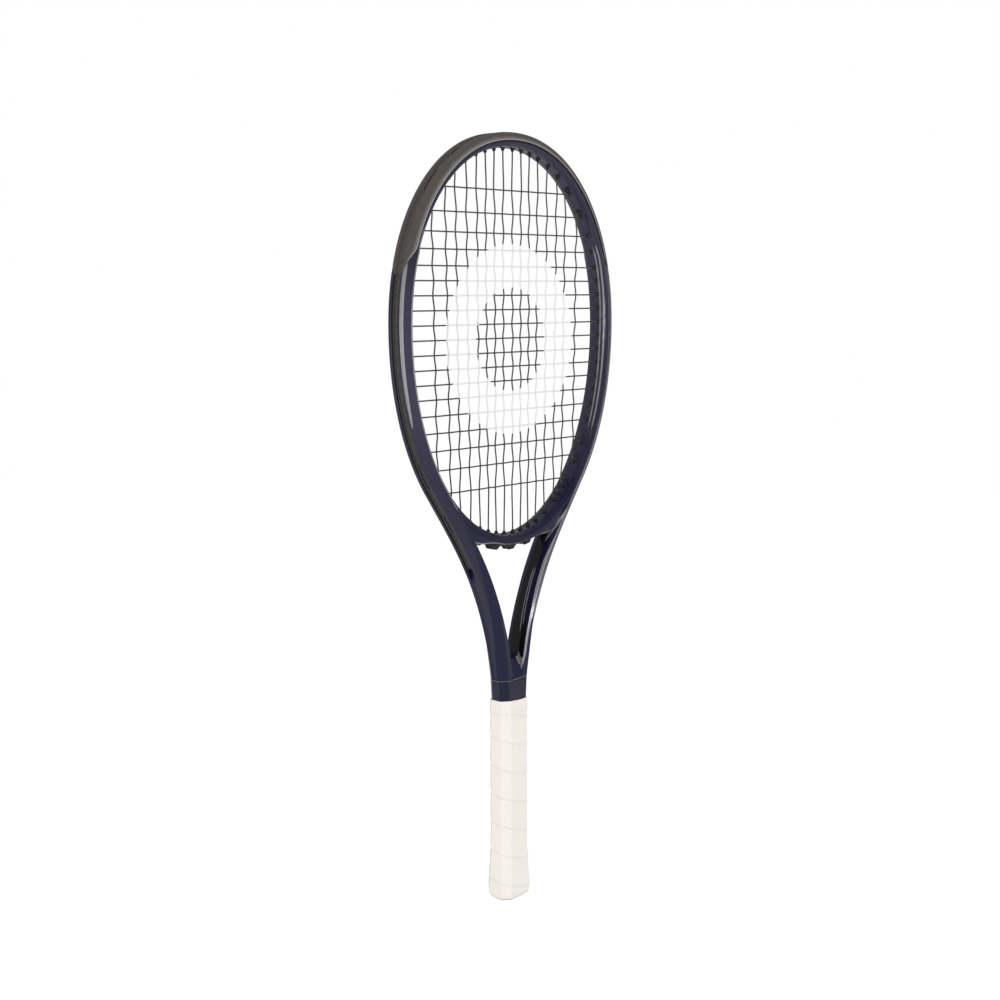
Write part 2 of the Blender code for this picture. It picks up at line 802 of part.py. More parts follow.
def build_butt_cap():
    seat = grown(PALLET, GAP)
    levels = (0, 1.6, 6, 13, 21, 30, 40)
    outside = [(*cap_outside(z), (5.9, 5.9), z) for z in levels]
    recess = (8.0, 6.4)
    hole = (6.4, 4.8)
    inside = [
        (*seat, PALLET_BEVEL, 40), (*seat, PALLET_BEVEL, 3.8), (*hole, (2.2, 2.2), 3.8),
        (*hole, (2.2, 2.2), 2.2), (*recess, (2.8, 2.8), 2.2), (*recess, (2.8, 2.8), 0),
    ]
    cap = octagon_shell("butt_cap", outside + inside, CAP)
    for hand, word in ((1, "right"), (-1, "left")):
        for side in (-1, 1):
            boolean(cap, staple_leg_hole(hand, side, "cut_cap_%s_%d" % (word, side)), "DIFFERENCE")
        inner, outer = sorted((hand * (PALLET[0] + 0.6), hand * (PALLET[0] + 4)))
        slot = box("cut_crown_" + word, (inner, -4.6, STAPLE_Z - 0.6), (outer, 4.6, STAPLE_Z + 0.6), CAP)
        boolean(cap, slot, "DIFFERENCE")
    door = [octagon(7.7, 6.1, (2.7, 2.7), z) for z in (0.5, 1.9)]
    door += [octagon(6.1, 4.5, (2.1, 2.1), z) for z in (1.9, 3.9)]
    mesh_object("butt_cap_door", skin(door), CAP)


def build_collar():
    low, high = COLLAR_Z
    bevel = (6.2, 6.6)
    bore_low = (leg_reach(low), LEG_BEAM + GAP)
    bore_high = (leg_reach(high), LEG_BEAM + GAP)
    rings = [
        (16.8, 10.7, bevel, low), (18.3, SHAFT_BEAM, bevel, high),
        (*bore_high, BORE_BEVEL, high), (*bore_low, BORE_BEVEL, low),
    ]
    octagon_shell("handle_collar", rings, CARBON)


def grip_outline():
    """Half sizes of the grip's outside by height, from the rim of the butt cap up."""
    out = GRIP_THICKNESS + GAP
    levels = [(2.0, -0.9)] + [(z, 0.0) for z in (4.5, 13, 21, 30, 39)]
    rings = [(*grown(cap_outside(z), out + trim), (6.4, 6.4), z) for z, trim in levels]
    straight = grown(PALLET, out)
    return rings + [(*straight, (6.4, 6.4), 47), (*straight, (6.4, 6.4), 180.8)]


def build_grip():
    outside = grip_outline()
    seat = grown(PALLET, GAP)
    inside = [(*seat, PALLET_BEVEL, 180.8), (*seat, PALLET_BEVEL, 42.5)]
    inside += [(*grown(cap_outside(z), GAP), (5.9, 5.9), z) for z in (40.3, 30, 21, 13, 6, 2.0)]
    octagon_shell("grip_wrap", outside + inside, GRIP)


def build_finishing_tape():
    """Tape over the grip's upper end that steps down onto the collar."""
    grip = grown(PALLET, GRIP_THICKNESS + GAP)
    rings = [
        (*grown(grip, 0.8), (6.5, 6.5), 175.0), (*grown(grip, 0.8), (6.5, 6.5), 181.5),
        (17.9, 11.8, (6.5, 6.7), 186.6), (17.4, 11.3, (6.4, 6.6), 186.6),
        (*grown(grip, 0.3), (6.4, 6.4), 181.2), (*grown(grip, 0.3), (6.4, 6.4), 175.0),
    ]
    octagon_shell("finishing_tape", rings, TAPE)


def main():
    clear_scene()
    mains, crosses, ties = drill()
    holes = list(mains.values()) + list(crosses.values()) + list(ties.values())
    build_frame_tube([hole for hole in holes if not hole.in_bridge])
    build_throat_wedge()
    crossing = [mains[1, 5, False], mains[-1, 5, False], mains[1, 6, False], mains[-1, 6, False]]
    build_throat_bridge([hole for hole in holes if hole.in_bridge] + crossing + [ties["cross_end"]])
    build_guard_and_strips(holes)
    build_throat_strip(holes)
    build_main_string(mains, ties)
    build_cross_string(crosses, mains, ties)
    build_collar()
    build_pallets()
    build_butt_cap()
    build_staples()
    build_grip()
    build_finishing_tape()


main()
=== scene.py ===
"""Looks of the tennis racket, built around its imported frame.

Sizes are in millimetres, with +X across the head, +Y along the string bed's normal and +Z from the
butt to the head. Every piece of the frame is swept along the hairpin's centreline with offsets
(r, y): r outward in the plane of the strings, y along their normal.
"""

import math

import bmesh
import bpy
import numpy as np
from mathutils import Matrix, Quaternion, Vector


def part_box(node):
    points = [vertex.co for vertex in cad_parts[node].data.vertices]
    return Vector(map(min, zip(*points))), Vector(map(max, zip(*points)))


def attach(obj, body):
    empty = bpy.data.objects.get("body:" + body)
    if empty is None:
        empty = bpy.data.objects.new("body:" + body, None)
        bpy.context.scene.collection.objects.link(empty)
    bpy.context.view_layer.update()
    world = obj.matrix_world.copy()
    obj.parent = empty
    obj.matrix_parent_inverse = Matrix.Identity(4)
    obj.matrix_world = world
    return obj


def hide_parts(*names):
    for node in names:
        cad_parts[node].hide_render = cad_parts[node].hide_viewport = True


MM = 0.001

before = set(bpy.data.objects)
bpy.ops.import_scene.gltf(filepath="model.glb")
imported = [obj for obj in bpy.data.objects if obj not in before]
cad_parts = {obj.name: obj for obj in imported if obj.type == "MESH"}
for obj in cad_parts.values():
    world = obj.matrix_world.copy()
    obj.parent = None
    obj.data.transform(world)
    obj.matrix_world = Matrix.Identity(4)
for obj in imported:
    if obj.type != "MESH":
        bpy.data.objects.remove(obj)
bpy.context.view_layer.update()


def box_mm(node):
    low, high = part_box(node)
    return np.array(low) / MM, np.array(high) / MM


# Tube section and the places where it changes
INNER_R = 6.3
OUTER_R = 6.6
RECESS_OUTER_R = 4.2
BEAM = 11.8
RECESS_BEAM = 10.9
SIDE_FLAT = 7.0
SHAFT = (7.5, 10.9, 4.2)
LEG = (5.6, 8.4, 4.0)
GROOVE_FLOOR = 2.9
GROOVE_HALF = 3.6
FLOOR_HALF = 3.0
GROOVE_START = (299, 309)
STRIP_END_Z = 313
RECESS_ANGLE = 15.4

# Centrelines, with the hoop's reach read from the frame
TUBE_LOW, TUBE_HIGH = box_mm("frame_tube")
CENTRE_Z = 521.0
HALF_WIDTH = TUBE_HIGH[0] - OUTER_R
HOOP_TOP = TUBE_HIGH[2] - RECESS_OUTER_R - CENTRE_Z
HOOP_LOW = 190.2
TOP_POWER = 2.1
LOW_POWER = 2.03
ARM_ANGLE = -45.65
LEG_X = 6.75
LEG_BOTTOM = TUBE_LOW[2]
LEG_TOP = 140.0
LEG_PULL = 132.0
HOOP_PULL = 83.0

# String bed and grommets
GAUGE = 1.3
FIRST_MAIN = 6.0
MAIN_GAPS = (10.8, 10.8, 10.8, 12.7, 13.0, 12.2, 16.0)
MAIN_FAN = 0.072 / 300
FAN_CENTRE_Z = 522.7
TOP_CROSS_Z = 637.4
CROSS_GAPS = (20.2, 16.8, 14.4, 13.8) + (12.4,) * 9 + (13.7, 14.7, 15.1, 16.6, 20.3)
BRIDGE_MAINS = 5
MAIN_TIE_Z = 408.5
START_TIE_ANGLE = 54.4
END_TIE_ANGLE = -56.4
NORMAL_SHARE = 2.0
BRIDGE_NORMAL_SHARE = 0.35
STRING_LEVEL = 5.05
BRIDGE_STRING_LEVEL = 5.3
LANE = 1.9
MAIN_NOSE = 2.6
CROSS_NOSE = 1.2
MAIN_WEAVE = 0.78
CROSS_WEAVE = 0.56

# Throat strip
THROAT_STRIP_HALF = 53.0
SADDLE_CENTRES = (-43.0, -21.3, 0.0, 21.3, 43.0)
SADDLE_HALF = 6.6
SADDLE_TOP_HALF = 3.6
SADDLE_HEIGHT = 3.6

# Handle
HALF_PALLET = (15.2, 10.4)
GRIP_OUT = 2.0
GRIP_PITCH = 26.6
GRIP_START = 0.21
GRIP_TOP = 180.8
GRIP_FLAT = (0.06, 0.3, 0.5, 0.7, 0.94)

# Profiles as places and the values there: round one turn of the grip, and up the cap
LAP = ((0, 0.022, 0.06, 0.5, 0.96, 1.0), (0.0, 0.38, 0.44, 0.15, 0.0, 0.0))
LAP_SEAM = ((0, 0.02, 0.04, 0.96, 1.0), (1.0, 0.5, 0.0, 0.0, 1.0))
CAP_FLARE = ((0, 1.6, 6, 13, 21, 30, 40), (-1.2, 0.6, 1.7, 2.1, 1.5, 0.9, 0.85))

# Octagons (level, half x, half y, bevel): the cap's well downwards, and its door upwards
CAP_WELL = (
    (3.8, 6.4, 4.8, 2.2), (2.2, 6.4, 4.8, 2.2), (2.2, 8.0, 6.4, 2.8), (0.2, 8.0, 6.4, 2.8),
    (0.0, 8.2, 6.6, 2.8),
)
CAP_DOOR = (
    (0.5, 7.5, 5.9, 2.7), (0.7, 7.7, 6.1, 2.7), (1.9, 7.7, 6.1, 2.7), (1.9, 6.1, 4.5, 2.1),
    (3.9, 6.1, 4.5, 2.1),
)


# ---- small helpers ----


def mix(a, b, share):
    return a + (b - a) * share


def ramp(value, low, high):
    return np.clip((value - low) / (high - low), 0.0, 1.0)


def ease(value, low, high):
    share = ramp(value, low, high)
    return share * share * (3 - 2 * share)


def unit(vectors):
    return vectors / np.linalg.norm(vectors, axis=-1, keepdims=True)


def bisect(test, low, high):
    """Where test changes sign between low and high."""
    rising = test(high) > 0
    for _ in range(36):
        middle = (low + high) / 2
        if (test(middle) > 0) == rising:
            high = middle
        else:
            low = middle
    return (low + high) / 2


# ---- centrelines, as (x, z) points of the right half ----


def hoop(angle):
    c = np.cos(np.radians(angle))
    s = np.sin(np.radians(angle))
    power = np.where(s > 0, TOP_POWER, LOW_POWER)
    height = np.where(s > 0, HOOP_TOP, HOOP_LOW)
    size = (np.abs(c) ** power + np.abs(s) ** power) ** (1 / power)
    return np.stack([HALF_WIDTH * c / size, CENTRE_Z + height * s / size], axis=-1)


def arm(share):
    end = hoop(ARM_ANGLE)
    along = unit(hoop(ARM_ANGLE + 0.01) - hoop(ARM_ANGLE - 0.01))
    start = np.array([LEG_X, LEG_TOP])
    points = (start, start + np.array([0, LEG_PULL]), end - along * HOOP_PULL, end)
    t = np.asarray(share, float)[..., None]
    weights = ((1 - t) ** 3, 3 * (1 - t) ** 2 * t, 3 * (1 - t) * t**2, t**3)
    return sum(p * w for p, w in zip(points, weights))


def spine(u):
    """Leg (u from -1 to 0), arm (0 to 1) and hoop (1 to 2)."""
    u = np.asarray(u, float)
    leg = np.stack([np.full_like(u, LEG_X), mix(LEG_TOP, LEG_BOTTOM, -u)], axis=-1)
    on_arm = arm(np.clip(u, 0, 1))
    on_hoop = hoop(mix(ARM_ANGLE, 90.0, u - 1))
    part = u[..., None]
    return np.where(part < 0, leg, np.where(part < 1, on_arm, on_hoop))


def hoop_u(angle):
    return 1 + (angle - ARM_ANGLE) / (90.0 - ARM_ANGLE)


def arm_u(z):
    return bisect(lambda u: spine(u)[1] - z, 0.0, 1.0)


def normals(path, values):
    step = 1e-4 * (1 if path is spine else 100)
    along = unit(path(values + step) - path(values - step))
    return np.stack([along[..., 1], -along[..., 0]], axis=-1)


def evenly(path, low, high, spacing):
    """Values of a path from low to high whose points lie about spacing apart."""
    fine = np.linspace(low, high, 3000)
    lengths = np.linalg.norm(np.diff(path(fine), axis=0), axis=1)
    distance = np.concatenate([[0], np.cumsum(lengths)])
    count = max(2, int(round(distance[-1] / spacing)) + 1)
    return np.interp(np.linspace(0, distance[-1], count), distance, fine)


def distance_from_top(u):
    fine = np.linspace(-1, 2, 6000)
    lengths = np.linalg.norm(np.diff(spine(fine), axis=0), axis=1)
    distance = np.concatenate([[0], np.cumsum(lengths)])
    return distance[-1] - np.interp(u, fine, distance)


# ---- outlines ----


def mirror_outline(half):
    """Corner columns of a closed outline from its y > 0 half."""
    return half + [(r, -y) for r, y in reversed(half)]


def corner_array(columns, count):
    """Corners (count, K, 2) from columns whose entries are numbers or one value per station."""
    pairs = [[np.broadcast_to(part, count) for part in column] for column in columns]
    return np.stack([np.stack(pair, axis=-1) for pair in pairs], axis=1)


def rounded(corners, radii, arc=4, flat=(0.05, 0.35, 0.65, 0.95)):
    """Round the corners of closed outlines (N, K, 2).

    Returns the points (N, M, 2) and each point's place around, counted in corners.
    """
    before = np.roll(corners, 1, axis=1) - corners
    after = np.roll(corners, -1, axis=1) - corners
    long_before = np.linalg.norm(before, axis=2)
    long_after = np.linalg.norm(after, axis=2)
    way_before = before / long_before[..., None]
    way_after = after / long_after[..., None]
    half = np.arccos(np.clip((way_before * way_after).sum(2), -1, 1)) / 2
    cut = np.broadcast_to(radii, half.shape) / np.maximum(np.tan(half), 1e-3)
    cut = np.minimum(cut, 0.45 * np.minimum(long_before, long_after))
    points = []
    places = []
    count = corners.shape[1]
    for k in range(count):
        n = (k + 1) % count
        for t in np.linspace(0, 1, arc + 1):
            back = cut[:, k] * (1 - t) ** 2
            ahead = cut[:, k] * t**2
            moved = corners[:, k] + way_before[:, k] * back[:, None]
            points.append(moved + way_after[:, k] * ahead[:, None])
            places.append(k - back / long_before[:, k] + ahead / long_after[:, k])
        start = cut[:, k] / long_after[:, k]
        end = 1 - cut[:, n] / long_after[:, k]
        for t in flat:
            share = mix(start, end, t)
            points.append(corners[:, k] + after[:, k] * share[:, None])
            places.append(k + share)
    return np.stack(points, axis=1), np.stack(places, axis=1)


# ---- meshes ----


def add_object(name, data):
    made = bpy.data.objects.new(name, data)
    bpy.context.scene.collection.objects.link(made)
    return made


class Body:
    """A mesh gathered from lofted rings, each loft a closed body of its own."""

    def __init__(self):
        self.vertices = []
        self.faces = []
        self.fields = {}
        self.count = 0

    def loft(self, rings, closed=False, fields=None):
        """Join rings (N, M, 3) into a tube; its ends are capped unless the rings close.

        A field holds one value for the loft, or an array that fits (N, M).
        """
        n, m = rings.shape[:2]
        index = np.arange(n * m).reshape(n, m) + self.count
        here = index if closed else index[:-1]
        there = np.roll(index, -1, axis=0) if closed else index[1:]
        quads = np.stack([here, np.roll(here, -1, axis=1), np.roll(there, -1, axis=1), there], axis=-1)
        self.faces += quads.reshape(-1, 4).tolist()
        if not closed:
            self.faces += [index[0].tolist()[::-1], index[-1].tolist()]
        self.vertices.append(rings.reshape(-1, 3))
        self.count += n * m
        for field, values in (fields or {}).items():
            self.fields.setdefault(field, []).append(np.broadcast_to(values, (n, m)).ravel())
        return self

    def mesh(self, name):
        mesh = bpy.data.meshes.new(name)
        mesh.from_pydata((np.concatenate(self.vertices) * MM).tolist(), [], self.faces)
        return mesh

    def make(self, name, material, node, slot):
        mesh = self.mesh(name)
        for field, values in self.fields.items():
            layer = mesh.attributes.new(field, "FLOAT", "POINT")
            layer.data.foreach_set("value", np.concatenate(values).astype(np.float32))
        bm = bmesh.new()
        bm.from_mesh(mesh)
        bmesh.ops.recalc_face_normals(bm, faces=bm.faces)
        if bm.calc_volume(signed=True) < 0:
            bmesh.ops.reverse_faces(bm, faces=bm.faces)
        bm.to_mesh(mesh)
        bm.free()
        mesh.polygons.foreach_set("use_smooth", [True] * len(mesh.polygons))
        mesh.materials.append(material)
        piece = add_object(name, mesh)
        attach(piece, "root")
        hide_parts(node)
        return piece


def place_rings(points, outward, outlines):
    """Rings (N, M, 3) from centre points and normals (N, 2) and outlines (N, M, 2)."""
    flat = points[:, None] + outward[:, None] * outlines[..., 0:1]
    return np.stack([flat[..., 0], outlines[..., 1], flat[..., 1]], axis=-1)


def over_the_top(values):
    """Right-hand stations carried over the head's top to the left, with their sides."""
    left = values[::-1][1:]
    return np.concatenate([values, left]), np.concatenate([np.ones(len(values)), -np.ones(len(left))])


def placed(path, values, sides):
    """Centre points and outward normals at stations on the right (1) or the left (-1)."""
    flip = np.stack([sides, np.ones_like(sides)], axis=-1)
    return path(values) * flip, normals(path, values) * flip


# ---- materials ----


def rgba(value):
    """What a colour socket takes: a link as it is, or a colour with full alpha."""
    return value if isinstance(value, bpy.types.NodeSocket) else (*value, 1.0)


class Graph:
    """Nodes under construction: adds nodes and feeds their sockets."""

    def __init__(self, tree):
        self.nodes = tree.nodes
        self.links = tree.links

    def feed(self, socket, value):
        if isinstance(value, bpy.types.NodeSocket):
            self.links.new(value, socket)
        else:
            socket.default_value = value

    def node(self, kind, inputs, **settings):
        made = self.nodes.new(kind)
        for key, value in settings.items():
            setattr(made, key, value)
        for key, value in inputs.items():
            self.feed(made.inputs[key], value)
        return made

    def math(self, operation, *values):
        return self.node("ShaderNodeMath", dict(enumerate(values)), operation=operation).outputs[0]

    def plus(self, one, two):
        return self.math("ADD", one, two)

    def minus(self, one, two):
        return self.math("SUBTRACT", one, two)

    def times(self, one, two):
        return self.math("MULTIPLY", one, two)

    def field(self, name):
        return self.node("ShaderNodeAttribute", {}, attribute_name=name).outputs["Fac"]

    def place(self):
        """Object coordinates, in metres."""
        return self.node("ShaderNodeTexCoord", {}).outputs["Object"]

    def split(self, vector):
        return self.node("ShaderNodeSeparateXYZ", {"Vector": vector}).outputs

    def noise(self, scale, detail=2.0, vector=None, roughness=0.5):
        inputs = {"Scale": scale, "Detail": detail, "Roughness": roughness}
        inputs["Vector"] = vector if vector else self.place()
        return self.node("ShaderNodeTexNoise", inputs).outputs["Fac"]

    def stretched(self, factors):
        inputs = {0: self.place(), 1: factors}
        return self.node("ShaderNodeVectorMath", inputs, operation="MULTIPLY").outputs[0]

    def step(self, value, low, high):
        """0 below low, 1 above high and smooth between them."""
        inputs = {"Value": value, "From Min": low, "From Max": high}
        return self.node("ShaderNodeMapRange", inputs, interpolation_type="SMOOTHSTEP").outputs[0]

    def fall(self, value, low, high):
        """1 below low, 0 above high and smooth between them."""
        return self.minus(1.0, self.step(value, low, high))

    def blend(self, factor, one, two):
        inputs = {"Factor": factor, "A": rgba(one), "B": rgba(two)}
        return self.node("ShaderNodeMix", inputs, data_type="RGBA").outputs["Result"]

    def by_ray(self, seen, lit, mirrored):
        """A strength that differs for what the camera sees, for lighting and for reflections."""
        path = self.node("ShaderNodeLightPath", {})
        value = mirrored
        for ray, strength in (("Is Diffuse Ray", lit), ("Is Camera Ray", seen)):
            inputs = {"Factor": path.outputs[ray], "A": value, "B": strength}
            value = self.node("ShaderNodeMix", inputs, data_type="FLOAT").outputs[0]
        return value

    def curve(self, value, points, reach, low, high):
        """A broken line through points (value, result) for values from 0 to reach."""
        made = self.node("ShaderNodeFloatCurve", {"Value": self.math("DIVIDE", value, reach)})
        line = made.mapping.curves[0]
        spots = [(x / reach, (y - low) / (high - low)) for x, y in points]
        spots = [(max(0.0, min(1.0, x)), y) for x, y in spots]
        line.points[0].location = spots[0]
        line.points[1].location = spots[-1]
        for spot in spots[1:-1]:
            line.points.new(*spot)
        for point in line.points:
            point.handle_type = "VECTOR"
        made.mapping.update()
        scaled = self.times(made.outputs[0], high - low)
        return self.plus(scaled, low)


class Shade(Graph):
    """A material of its own, on the Principled surface."""

    def __init__(self, name, roughness, coat=0.0, coat_roughness=0.05, metallic=0.0):
        self.material = bpy.data.materials.new(name)
        self.material.use_nodes = True
        super().__init__(self.material.node_tree)
        self.surface = self.nodes["Principled BSDF"].inputs
        self.surface["Roughness"].default_value = roughness
        self.surface["Metallic"].default_value = metallic
        self.surface["Coat Weight"].default_value = coat
        self.surface["Coat Roughness"].default_value = coat_roughness

    def bump(self, height, distance):
        made = self.node("ShaderNodeBump", {"Height": height, "Distance": distance})
        self.feed(self.surface["Normal"], made.outputs["Normal"])

    def colour(self, value):
        self.feed(self.surface["Base Color"], rgba(value))


# ---- frame lacquer ----

SPINE_REACH = 780.0
SEAM_Z = 205.8
NAVY = (0.021, 0.021, 0.078)
SLATE = (0.052, 0.048, 0.096)
COLLAR_SLATE = (0.044, 0.041, 0.080)
NOSE_BLACK = (0.020, 0.018, 0.018)
# Painted sheen: a lighter, greyer navy on the upper hoop, fading to plain navy between the two reaches
PAINTED_SHEEN = (0.070, 0.061, 0.116)
PAINTED_SHEEN_REACH = (280.0, 480.0)
# Painted reflection: black for the arms' inner faces, standing for the dark opposite arm they mirror
BLACK = (0.012, 0.011, 0.016)
SILVER = (0.52, 0.50, 0.52)
FLAKE = dict(roughness=0.36, coat=0.8, coat_roughness=0.04, metallic=0.75)
SEAM_PALE = (0.30, 0.29, 0.29)
SEAM_HALF = 0.00035
SEAM_TILT = 0.04

# Hook of the fork stripe, from its lower tip to its upper one, as (x, z)
HOOK = ((6.9, 217.3), (6.0, 225.3))
HOOK_HALF = 1.7

# Silver lines as (distance from the head's top, girth out from the ridge, half width): painted stripes and
# print, with one painted highlight and two painted reflections among them, marked below
LEFT_MARKS = (
    ((152, 9.7, -0.3), (158, 9.8, 1.8), (226, 9.8, 1.8), (286, 9.6, 1.5), (302, 9.6, 1.1), (310, 9.9, 0.7),
     (314, 10.1, -0.3)),
    # Painted highlight: a thin bright line along the left hoop's inner ridge
    ((140, 0.3, -0.3), (150, 0.3, 0.6), (396, 0.3, 0.5), (404, 0.3, -0.3)),
    ((140, -3.3, -0.3), (150, -3.3, 0.3), (196, -3.3, 0.3), (202, -3.3, -0.3)),
)
RIGHT_MARKS = (
    ((186, 9.0, -0.3), (194, 8.8, 0.5), (284, 6.6, 0.7), (322, 4.9, 0.8), (351, 5.2, 0.8), (383, 4.4, 0.8),
     (406, 3.2, 0.6), (414, 2.4, -0.3)),
    ((412, 1.6, -0.3), (416, 1.7, 0.9), (436, 2.0, 1.3), (467, -1.5, 1.4), (496, -1.8, 1.4),
     (514, -2.1, 1.4), (541, -4.9, 1.3), (554, -5.2, 1.2), (560, -6.4, 1.2), (566, -7.4, -0.3)),
    ((412, 1.0, -0.3), (418, 0.6, 1.0), (434, -3.0, 1.3), (449, -7.2, 1.2), (453, -8.2, -0.3)),
    # Painted reflections: these two thin lines on the right hoop's inner wall stand for reflected light
    ((152, -8.0, -0.3), (164, -8.2, 0.8), (247, -9.8, 0.8), (325, -9.0, 0.7), (338, -8.7, -0.3)),
    ((152, -4.4, -0.3), (160, -4.5, 0.75), (247, -5.6, 0.75), (325, -5.2, 0.6), (338, -5.0, -0.3)),
    ((552, -12.6, -0.3), (556, -11.8, 1.7), (561, -9.9, 1.8), (566, -8.0, 1.0), (569, -7.4, -0.3)),
    ((474, -8.2, -0.2), (480, -8.4, 0.35), (526, -9.8, 0.35), (532, -9.9, -0.2)),
    ((474, -10.4, -0.2), (480, -10.5, 0.35), (532, -12.8, 0.35), (538, -13.0, -0.2)),
)
SLATE_EDGE = (
    (316, 15.5), (320, 14.0), (352, 9.3), (384, 4.7), (409, 2.3), (452, 4.8), (484, 8.7), (511, 9.2),
    (535, 9.6), (550, 10.9), (573, 12.0), (580, 12.2),
)


def flaked_navy(shade):
    """Navy with fine lighter flakes."""
    flakes = shade.step(shade.noise(2600.0, 1.0), 0.45, 0.75)
    return shade.blend(flakes, NAVY, tuple(c * 1.25 for c in NAVY))


def with_seam(shade, base):
    """Add the pale seam between the tube's lacquer and the collar's."""
    x, _, z = shade.split(shade.place())[:3]
    level = shade.minus(z, shade.times(x, SEAM_TILT))
    away = shade.math("ABSOLUTE", shade.minus(level, SEAM_Z * MM))
    return shade.blend(shade.math("LESS_THAN", away, SEAM_HALF), base, SEAM_PALE)


def on_hook(shade):
    """1 on the hook that ends the fork stripe, on the front's right and the back's left."""
    x, y, z = shade.split(shade.place())[:3]
    right = shade.times(x, shade.times(shade.math("SIGN", y), -1.0 / MM))
    high = shade.math("DIVIDE", z, MM)
    (start_x, start_z), (end_x, end_z) = HOOK
    length = math.hypot(end_x - start_x, end_z - start_z)
    way = ((end_x - start_x) / length, (end_z - start_z) / length)
    off = (shade.minus(right, start_x), shade.minus(high, start_z))
    along = shade.plus(shade.times(off[0], way[0]), shade.times(off[1], way[1]))
    across = shade.minus(shade.times(off[0], way[1]), shade.times(off[1], way[0]))
    taper = shade.times(shade.step(along, -1.5, 2.0), shade.fall(along, length - 2.0, length))
    width = shade.times(taper, HOOK_HALF)
    return shade.math("LESS_THAN", shade.math("ABSOLUTE", across), width)


def lacquer():
    shade = Shade("frame_lacquer", **FLAKE)
    reach = shade.field("reach")
    girth = shade.field("girth")
    x, y = shade.split(shade.place())[:2]
    right = shade.math("LESS_THAN", shade.times(x, y), 0.0)
    left = shade.minus(1.0, right)
    # Painted sheen: the upper hoop is coloured lighter, fading to plain navy down the sides
    base = shade.blend(shade.step(reach, *PAINTED_SHEEN_REACH), PAINTED_SHEEN, flaked_navy(shade))
    edge = shade.curve(reach, SLATE_EDGE, SPINE_REACH, -2.0, 22.0)
    above = shade.step(shade.minus(girth, edge), -0.15, 0.15)
    base = shade.blend(shade.times(above, left), base, SLATE)
    # Painted reflection: the arms' inner faces near the throat are coloured black, as where they mirror the
    # opposite arm
    inner = shade.times(shade.fall(girth, -9.5, -7.0), shade.step(reach, 418.0, 440.0))
    base = shade.blend(inner, base, BLACK)
    # Silver marks: paint stripes and print, with the painted highlight and painted reflections listed among
    # the marks
    for marks, where in ((LEFT_MARKS, left), (RIGHT_MARKS, right)):
        for mark in marks:
            centre = shade.curve(reach, [(s, g) for s, g, _ in mark], SPINE_REACH, -20.0, 20.0)
            width = shade.curve(reach, [(s, w) for s, _, w in mark], SPINE_REACH, -1.0, 4.0)
            off = shade.math("ABSOLUTE", shade.minus(girth, centre))
            inside = shade.fall(shade.minus(off, width), -0.12, 0.12)
            base = shade.blend(shade.times(inside, where), base, SILVER)
    shade.colour(with_seam(shade, shade.blend(on_hook(shade), base, SILVER)))
    return shade.material


def bare_lacquer(name, lined=False):
    """Navy lacquer, with a bright line along the bridge's lower edge when lined."""
    shade = Shade(name, **FLAKE)
    base = flaked_navy(shade)
    if lined:
        depth = shade.field("depth")
        line = shade.times(shade.step(depth, 0.3, 0.5), shade.fall(depth, 1.2, 1.5))
        base = shade.blend(line, base, SILVER)
    else:
        base = with_seam(shade, shade.blend(on_hook(shade), base, SILVER))
    shade.colour(base)
    return shade.material


def slate_lacquer():
    """The collar's lacquer: slate flats, navy bevels and a pale seam at its upper end."""
    shade = Shade("collar_lacquer", **FLAKE)
    normal = shade.split(shade.node("ShaderNodeTexCoord", {}).outputs["Normal"])
    square = shade.math("MAXIMUM", shade.math("ABSOLUTE", normal[0]), shade.math("ABSOLUTE", normal[1]))
    base = shade.blend(shade.step(square, 0.90, 0.95), NAVY, COLLAR_SLATE)
    shade.colour(with_seam(shade, base))
    return shade.material


def moulded_plastic(name, colour, roughness, grain=900.0, depth=0.00004):
    shade = Shade(name, roughness)
    speckle = shade.noise(grain, 4.0)
    darker = tuple(c * 0.8 for c in colour)
    shade.colour(shade.blend(speckle, darker, tuple(c * 1.2 for c in colour)))
    shade.bump(speckle, depth)
    return shade.material


def grommet_material():
    """Dark nylon, nearly black on the noses inside the hoop."""
    shade = Shade("grommet_nylon", 0.42)
    speckle = shade.noise(900.0, 4.0)
    base = shade.blend(speckle, (0.056, 0.053, 0.043), (0.086, 0.082, 0.068))
    shade.colour(shade.blend(shade.field("nose"), base, NOSE_BLACK))
    shade.bump(speckle, 0.00004)
    return shade.material


def guard_material():
    """Dark nylon with fine grain, faint scratches and a painted highlight along its lips."""
    shade = Shade("guard_nylon", 0.48)
    speckle = shade.noise(1100.0, 4.0)
    scratch = shade.noise(60.0, 6.0, shade.stretched((1.0, 6.0, 1.0)), 0.7)
    base = shade.blend(speckle, (0.062, 0.053, 0.048), (0.094, 0.081, 0.075))
    base = shade.blend(shade.step(scratch, 0.62, 0.70), base, (0.15, 0.14, 0.13))
    # Painted highlight: a pale line along the lips
    base = shade.blend(shade.field("lip"), base, (0.34, 0.33, 0.33))
    shade.colour(shade.blend(shade.field("nose"), base, NOSE_BLACK))
    shade.bump(speckle, 0.00005)
    return shade.material


# Pale ring on the strings, in metres: its centre (x, z) and where its two edges fade
RING_CENTRE = (0.004, 0.509)
RING_INNER = (0.0448, 0.0456)
RING_OUTER = (0.0826, 0.0834)
RING_WHITE = (0.93, 0.93, 0.92)


